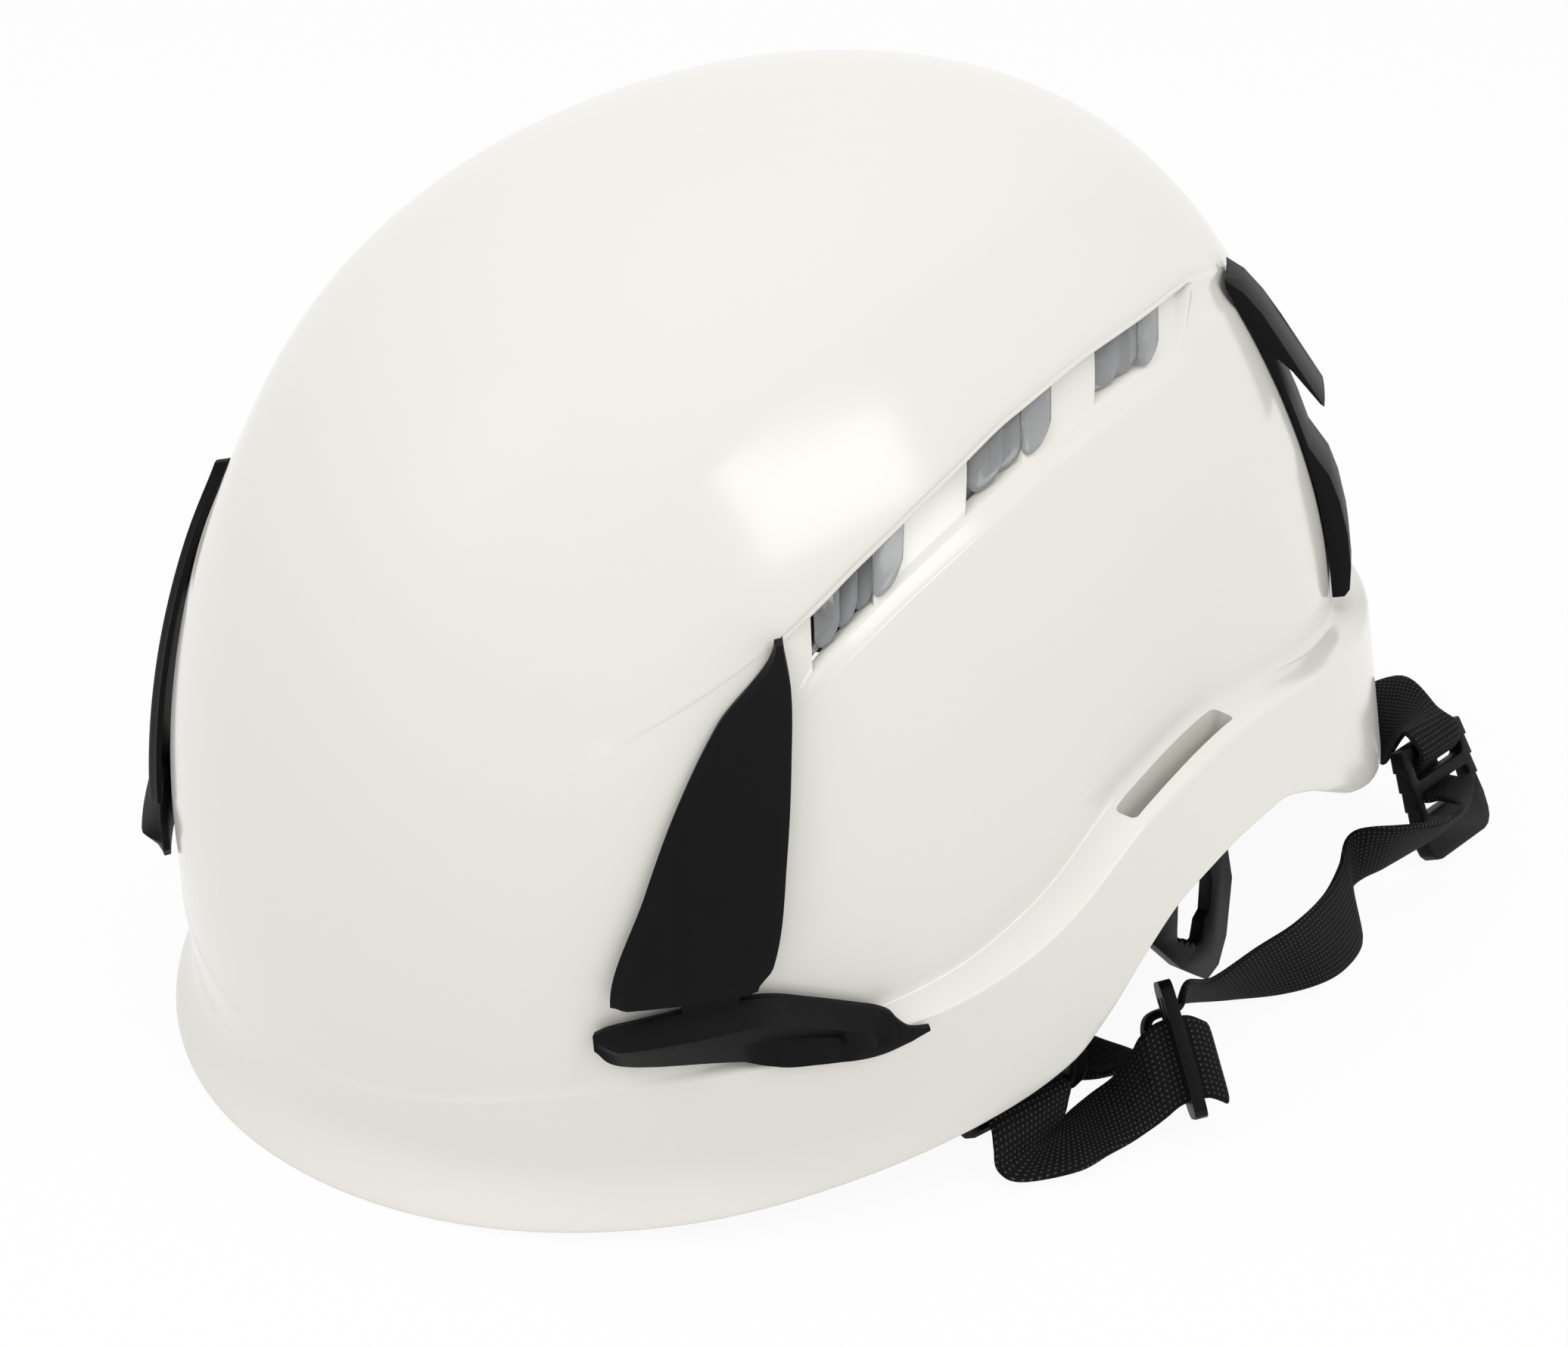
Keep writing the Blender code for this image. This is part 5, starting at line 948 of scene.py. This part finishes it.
def webbing(pairs, per_span=8, floor=None, columns=12):
    """Strap through pairs of edge points, with rounded edges and its length and width as a map in metres."""
    edges = np.stack([spline([ends[k] for ends in pairs], per_span) for k in (0, 1)], axis=1)
    centre = edges.mean(axis=1)
    travel = np.gradient(centre, axis=0)
    across = edges[:, 1] - edges[:, 0]
    up = np.cross(travel, across)
    up /= np.linalg.norm(up, axis=1)[:, None]
    share = np.sin(np.linspace(-np.pi / 2, np.pi / 2, columns + 1)) / 2
    bulge = (1 - abs(2 * share) ** 10) ** 0.5
    ring = [(s, h) for s, h in zip(share, bulge)] + [(s, -h) for s, h in zip(share[-2:0:-1], bulge[-2:0:-1])]
    points = np.stack([centre + across * s + up * (h * WEB_THICK / 2) for s, h in ring], axis=1)
    if floor is not None:
        points[..., 2] += np.maximum(floor - points[..., 2].min(axis=1), 0.0)[:, None]
    along = np.concatenate([[0.0], np.cumsum(np.linalg.norm(np.diff(centre, axis=0), axis=1))])
    width = np.linalg.norm(across, axis=1)
    mesh = loft(points)
    layer = mesh.uv_layers.new(name="strap")
    sides = np.array([s for s, _ in ring])
    runs = np.repeat(along[:, None], len(ring), axis=1)
    coords = np.stack([np.outer(width, sides), runs], axis=-1).reshape(-1, 2)
    corners = np.zeros(len(mesh.loops), int)
    mesh.loops.foreach_get("vertex_index", corners)
    layer.data.foreach_set("uv", coords[corners].ravel())
    return mesh


def slot_ends(anchor, depths, width):
    """Edge pairs of a strap that runs out through an anchor's slot, lying on the slot's lower bar."""
    at, along, up = anchor
    out = np.cross(along, up)
    middle = at - up * (ANCHOR_SLOT_TALL / 2 - WEB_THICK / 2 - GAP)
    return [pair(middle + out * depth, along, width) for depth in depths]


def chin_strap_pairs():
    """Edge pairs from the front anchor over the table, round the slider's bar and on under the buckle."""
    through = np.cross(GLIDE_BARS, GLIDE_ACROSS)
    upper, lower = GLIDE_AT + GLIDE_ACROSS * GLIDE_PITCH, GLIDE_AT - GLIDE_ACROSS * GLIDE_PITCH
    round_bar = [(upper - through * LOOP_RUN, LOOP_LEAD), (upper - through * LOOP_DEPTH, LOOP_DROP),
                 (upper + through * LOOP_DEPTH, LOOP_DROP), (GLIDE_AT + through * LOOP_REACH, LOOP_SAG),
                 (lower + through * LOOP_DEPTH, LOOP_DROP), (lower - through * LOOP_DEPTH, LOOP_DROP),
                 (lower - through * LOOP_RUN, LOOP_LEAD)]
    floor = FLOOR_GAP + WEB_THICK / 2
    under_buckle = BUCKLE_AT * (1, 1, 0) + (BUCKLE_LENGTH / 4, 0, floor)
    along_table = CHIN_TABLE_RUN + [under_buckle + BUCKLE_LEAD, under_buckle]
    pairs = slot_ends(FRONT_ANCHOR, FRONT_SLOT_RUN, STRAP_WIDTH)
    pairs += [(mm(*a), mm(*b)) for a, b in CHIN_STRAP_TURN]
    pairs += [pair(spot - GLIDE_BARS * drop, GLIDE_BARS, LOOP_WIDTH) for spot, drop in round_bar]
    pairs += [(mm(*a), mm(*b)) for a, b in CHIN_STRAP_RETURN]
    pairs += [pair(spot, (0, -1, 0), STRAP_WIDTH) for spot in along_table]
    return pairs


def lock_pairs(places, across, share):
    """Edge pairs at places up the ladder-lock and out from its face."""
    face = np.cross(LOCK_BARS, LOCK_UP)
    return [pair(LOCK_AT + LOCK_UP * up * MM + face * out * MM, across, STRAP_WIDTH * share)
            for up, out in places]


def rear_strap_pairs():
    """Edge pairs from behind the slider, through the twist and up behind the ladder-lock."""
    through = np.cross(GLIDE_BARS, GLIDE_ACROSS)
    behind = GLIDE_AT - GLIDE_ACROSS * YOKE_BEHIND
    pairs = [pair(behind + GLIDE_BARS * up * MM + through * depth * MM, GLIDE_ACROSS, width * MM)
             for up, depth, width in YOKE_THROAT]
    pairs += [(mm(*a), mm(*b)) for a, b in REAR_STRAP_TWIST]
    return pairs + lock_pairs(LOCK_RETURN, -LOCK_BARS, LOCK_RETURN_SHARE)


def rear_webbing_pairs():
    """Edge pairs from the rear anchor, over the ladder-lock's top bar and into its slot."""
    pairs = slot_ends(REAR_ANCHOR, REAR_SLOT_RUN, STRAP_WIDTH)
    pairs.append(REAR_WEBBING_TURN)
    return pairs + lock_pairs(LOCK_WRAP, LOCK_BARS, LOCK_WRAP_SHARE)


def make_straps():
    chin = webbing(chin_strap_pairs(), 8, FLOOR_GAP)
    other = mirror_mesh(chin)
    piece("chin_webbing_left", chin, "black_webbing", ["chin_strap_left"], TABLE, sharp=70.0)
    free = piece("chin_webbing_right", other, "black_webbing", ["chin_strap_right"], TABLE,
                 body=None, sharp=70.0)
    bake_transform(free)
    yoke, nape = (webbing(pairs, 8, FLOOR_GAP) for pairs in (rear_strap_pairs(), rear_webbing_pairs()))
    two_pieces("yoke_webbing", yoke, "black_webbing", "rear_strap", TABLE, 70.0)
    two_pieces("nape_webbing", nape, "black_webbing", "rear_webbing", TABLE, 70.0)


def crowned(outer, inner):
    """Pad between two grids, thinner towards its border on the inner side."""
    outer, inner = np.asarray(outer, float), np.asarray(inner, float)
    u = np.linspace(-1, 1, outer.shape[0])[:, None]
    v = np.linspace(-1, 1, outer.shape[1])[None, :]
    full = (1 - abs(u) ** 24) ** 0.5 * (1 - abs(v) ** 4) ** 0.5
    return outer, outer + (inner - outer) * (PAD_EDGE + (1 - PAD_EDGE) * full)[..., None]


def make_pads():
    inside = -BAND_THICK / 2 - GAP
    heights = np.linspace(BAND_LOW - PAD_MARGIN, BAND_LOW + BAND_TALL + PAD_MARGIN, 17)
    angles = np.radians(np.linspace(-PAD_ANGLE, PAD_ANGLE, 97))
    grids = []
    for grow in (inside, inside - PAD_THICK):
        grids.append([[((BAND_HALF_WIDTH + grow) * math.sin(a), -(BAND_FRONT + grow) * math.cos(a), z)
                       for z in heights] for a in angles])
    pads = [piece("sweatband_pad", skin(*crowned(*grids)), "dark_foam", ["sweatband"], HELMET, sharp=60.0)]

    turns = np.linspace(180 - NAPE_PAD_HALF_ANGLE, 180 + NAPE_PAD_HALF_ANGLE, 49)
    rows = np.linspace(NAPE_PAD_LOW, NAPE_PAD_HIGH, 17)
    grids = [[[polar(a, radius, z) for z in rows] for a in turns]
             for radius in (NAPE_PAD_RADIUS, NAPE_PAD_RADIUS - NAPE_PAD_THICK)]
    pads.append(piece("nape_cushion", skin(*crowned(*grids)), "dark_foam", ["nape_pad"], NAPE, "nape", 60.0))

    low = CRADLE_TOP - WEB_THICK / 2 - GAP - CROWN_PAD_THICK - CROWN_PAD_DROP
    profile = [(math.sin(a) ** 0.3 * CROWN_PAD_RADIUS, low + CROWN_PAD_THICK * (0.5 + 0.5 * math.cos(a)))
               for a in np.linspace(0.0, math.pi, 25)[1:-1]]
    turns = np.linspace(0, 360, 65)[:-1]
    points = [tuple(polar(a, r, z)) for a in turns for r, z in profile]
    size, count = len(profile), len(turns)
    faces = [[i * size + k, i * size + k + 1, (i + 1) % count * size + k + 1, (i + 1) % count * size + k]
             for i in range(count) for k in range(size - 1)]
    faces.append([i * size for i in range(count)])
    faces.append([i * size + size - 1 for i in range(count)])
    crown = plain_mesh(points, faces)
    pads.append(piece("crown_cushion", crown, "dark_foam", ["crown_pad"], HELMET, sharp=60.0))


def make_fittings():
    """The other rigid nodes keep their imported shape, with rounded edges."""
    done = {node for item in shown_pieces() for node in item.get("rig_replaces", [])}
    slots = {part["node"]: part["material_slot"] for part in frame["record"]["subparts"]}
    for node, source in frame["nodes"].items():
        if node in done:
            continue
        width = EDGE_ROUND.get(node.removesuffix("_left").removesuffix("_right"), FITTING_ROUND)
        if slots[node] == "black_webbing":
            continue
        mesh = rounded_edges(source.data, width)
        piece(f"{node}_fine", mesh, slots[node], [node], None, source["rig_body"])


def area_light(name, at, aim, size, power):
    data = bpy.data.lights.new(name, "AREA")
    data.shape = "RECTANGLE"
    data.size, data.size_y = size
    data.energy = power
    item = bpy.data.objects.new(name, data)
    item.location = at
    item.rotation_euler = (Vector(aim) - Vector(at)).to_track_quat("-Z", "Y").to_euler()
    bpy.context.scene.collection.objects.link(item)
    return item


def seen_directly(tree):
    """1 for rays that show a surface straight, in a mirror or through a clear piece."""
    path = tree.nodes.new("ShaderNodeLightPath")
    total = None
    for name in ("Is Camera Ray", "Is Glossy Ray", "Is Transmission Ray"):
        if total is None:
            total = path.outputs[name]
            continue
        step = tree.nodes.new("ShaderNodeMath")
        step.operation = "MAXIMUM"
        tree.links.new(total, step.inputs[0])
        tree.links.new(path.outputs[name], step.inputs[1])
        total = step.outputs[0]
    return total


def show_mix(tree, share, lit, white, end):
    """Shows the lit shader, or the white one to rays that look straight at it."""
    mix = tree.nodes.new("ShaderNodeMixShader")
    tree.links.new(share, mix.inputs[0])
    tree.links.new(lit.outputs[0], mix.inputs[1])
    tree.links.new(white.outputs[0], mix.inputs[2])
    tree.links.new(mix.outputs[0], tree.nodes[end].inputs["Surface"])


def make_world():
    world = bpy.data.worlds.new("studio")
    bpy.context.scene.world = world
    world.use_nodes = True
    tree = world.node_tree
    back = tree.nodes["Background"]
    back.inputs["Color"].default_value = WORLD_COLOUR
    back.inputs["Strength"].default_value = WORLD_STRENGTH
    white = tree.nodes.new("ShaderNodeBackground")
    white.inputs["Color"].default_value = WHITE
    show_mix(tree, seen_directly(tree), back, white, "World Output")


def floor_look():
    """Pale floor that shows nearly white and keeps the helmet's shadow."""
    material = bpy.data.materials.new("studio_floor")
    material.use_nodes = True
    tree = material.node_tree
    shader = tree.nodes["Principled BSDF"]
    shader.inputs["Base Color"].default_value = FLOOR_COLOUR
    shader.inputs["Roughness"].default_value = FLOOR_ROUGHNESS
    glow = tree.nodes.new("ShaderNodeEmission")
    glow.inputs["Color"].default_value = WHITE
    share = tree.nodes.new("ShaderNodeMath")
    share.operation = "MULTIPLY"
    tree.links.new(seen_directly(tree), share.inputs[0])
    share.inputs[1].default_value = FLOOR_WHITE
    show_mix(tree, share.outputs[0], shader, glow, "Material Output")
    return material


def make_studio():
    make_world()
    mesh = bpy.data.meshes.new("floor")
    corners = [(x * FLOOR_HALF, y * FLOOR_HALF, 0) for x, y in ((-1, -1), (1, -1), (1, 1), (-1, 1))]
    mesh.from_pydata(corners, [], [(0, 1, 2, 3)])
    mesh.materials.append(floor_look())
    floor = bpy.data.objects.new("floor", mesh)
    bpy.context.scene.collection.objects.link(floor)
    key = area_light(*WINDOW_LAMP)
    soft = [area_light(*lamp) for lamp in SOFT_LAMPS]
    for lamp in soft:
        lamp.visible_glossy = False


def make_camera():
    scene = bpy.context.scene
    right, up = Vector(CAMERA_RIGHT).normalized(), Vector(CAMERA_UP).normalized()
    data = bpy.data.cameras.new("photo_view")
    data.lens = LENS
    data.sensor_width = SENSOR
    data.sensor_fit = "HORIZONTAL"
    data.clip_start = 0.01
    item = bpy.data.objects.new("photo_view", data)
    item.matrix_world = frame_matrix(CAMERA_AT, right, up, right.cross(up))
    scene.collection.objects.link(item)
    scene.camera = item
    scene.view_settings.view_transform = "Standard"


def frame_matrix(origin, x, y, z):
    columns = [list(v) + [0.0] for v in (x, y, z)] + [list(origin) + [1.0]]
    return Matrix(columns).transposed()


def helmet_matrix():
    """Helmet's own frame, from the joints that move along its height and about the nape unit's centre."""
    joints = {joint["name"]: joint for joint in frame["joints"]}
    across = Vector((1, 0, 0))
    up = Vector(joints["nape_height"]["axis"]).normalized()
    back = up.cross(across)
    origin = Vector(joints["arm_left_draw"]["pos_m"]) - back * NAPE_CENTRE[1] - up * NAPE_CENTRE[2]
    return frame_matrix(origin, across, back, up)


for item in list(bpy.data.objects):
    bpy.data.objects.remove(item, do_unlink=True)
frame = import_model()
HELMET = helmet_matrix()
NAPE = HELMET @ Matrix.Translation(NAPE_CENTRE) @ Matrix.Rotation(-math.radians(NAPE_TILT), 4, "X")
TABLE = Matrix.Translation((0, HELMET.translation.y, 0))
LOOKS = {"shell_white": shell_look(), "clear_louvre": louvre_look(), "black_moulding": moulding_look(),
         "black_webbing": webbing_look(), "dark_foam": foam_look(), "screw_steel": steel_look()}
make_shell()
make_louvres()
make_front_clips()
make_rear_clips()
make_straps()
make_pads()
make_fittings()
for node in ("cradle_strap_under", "cradle_strap_over"):
    frame["nodes"][node].data.materials.clear()
    frame["nodes"][node].data.materials.append(LOOKS["black_webbing"])
make_studio()
make_camera()
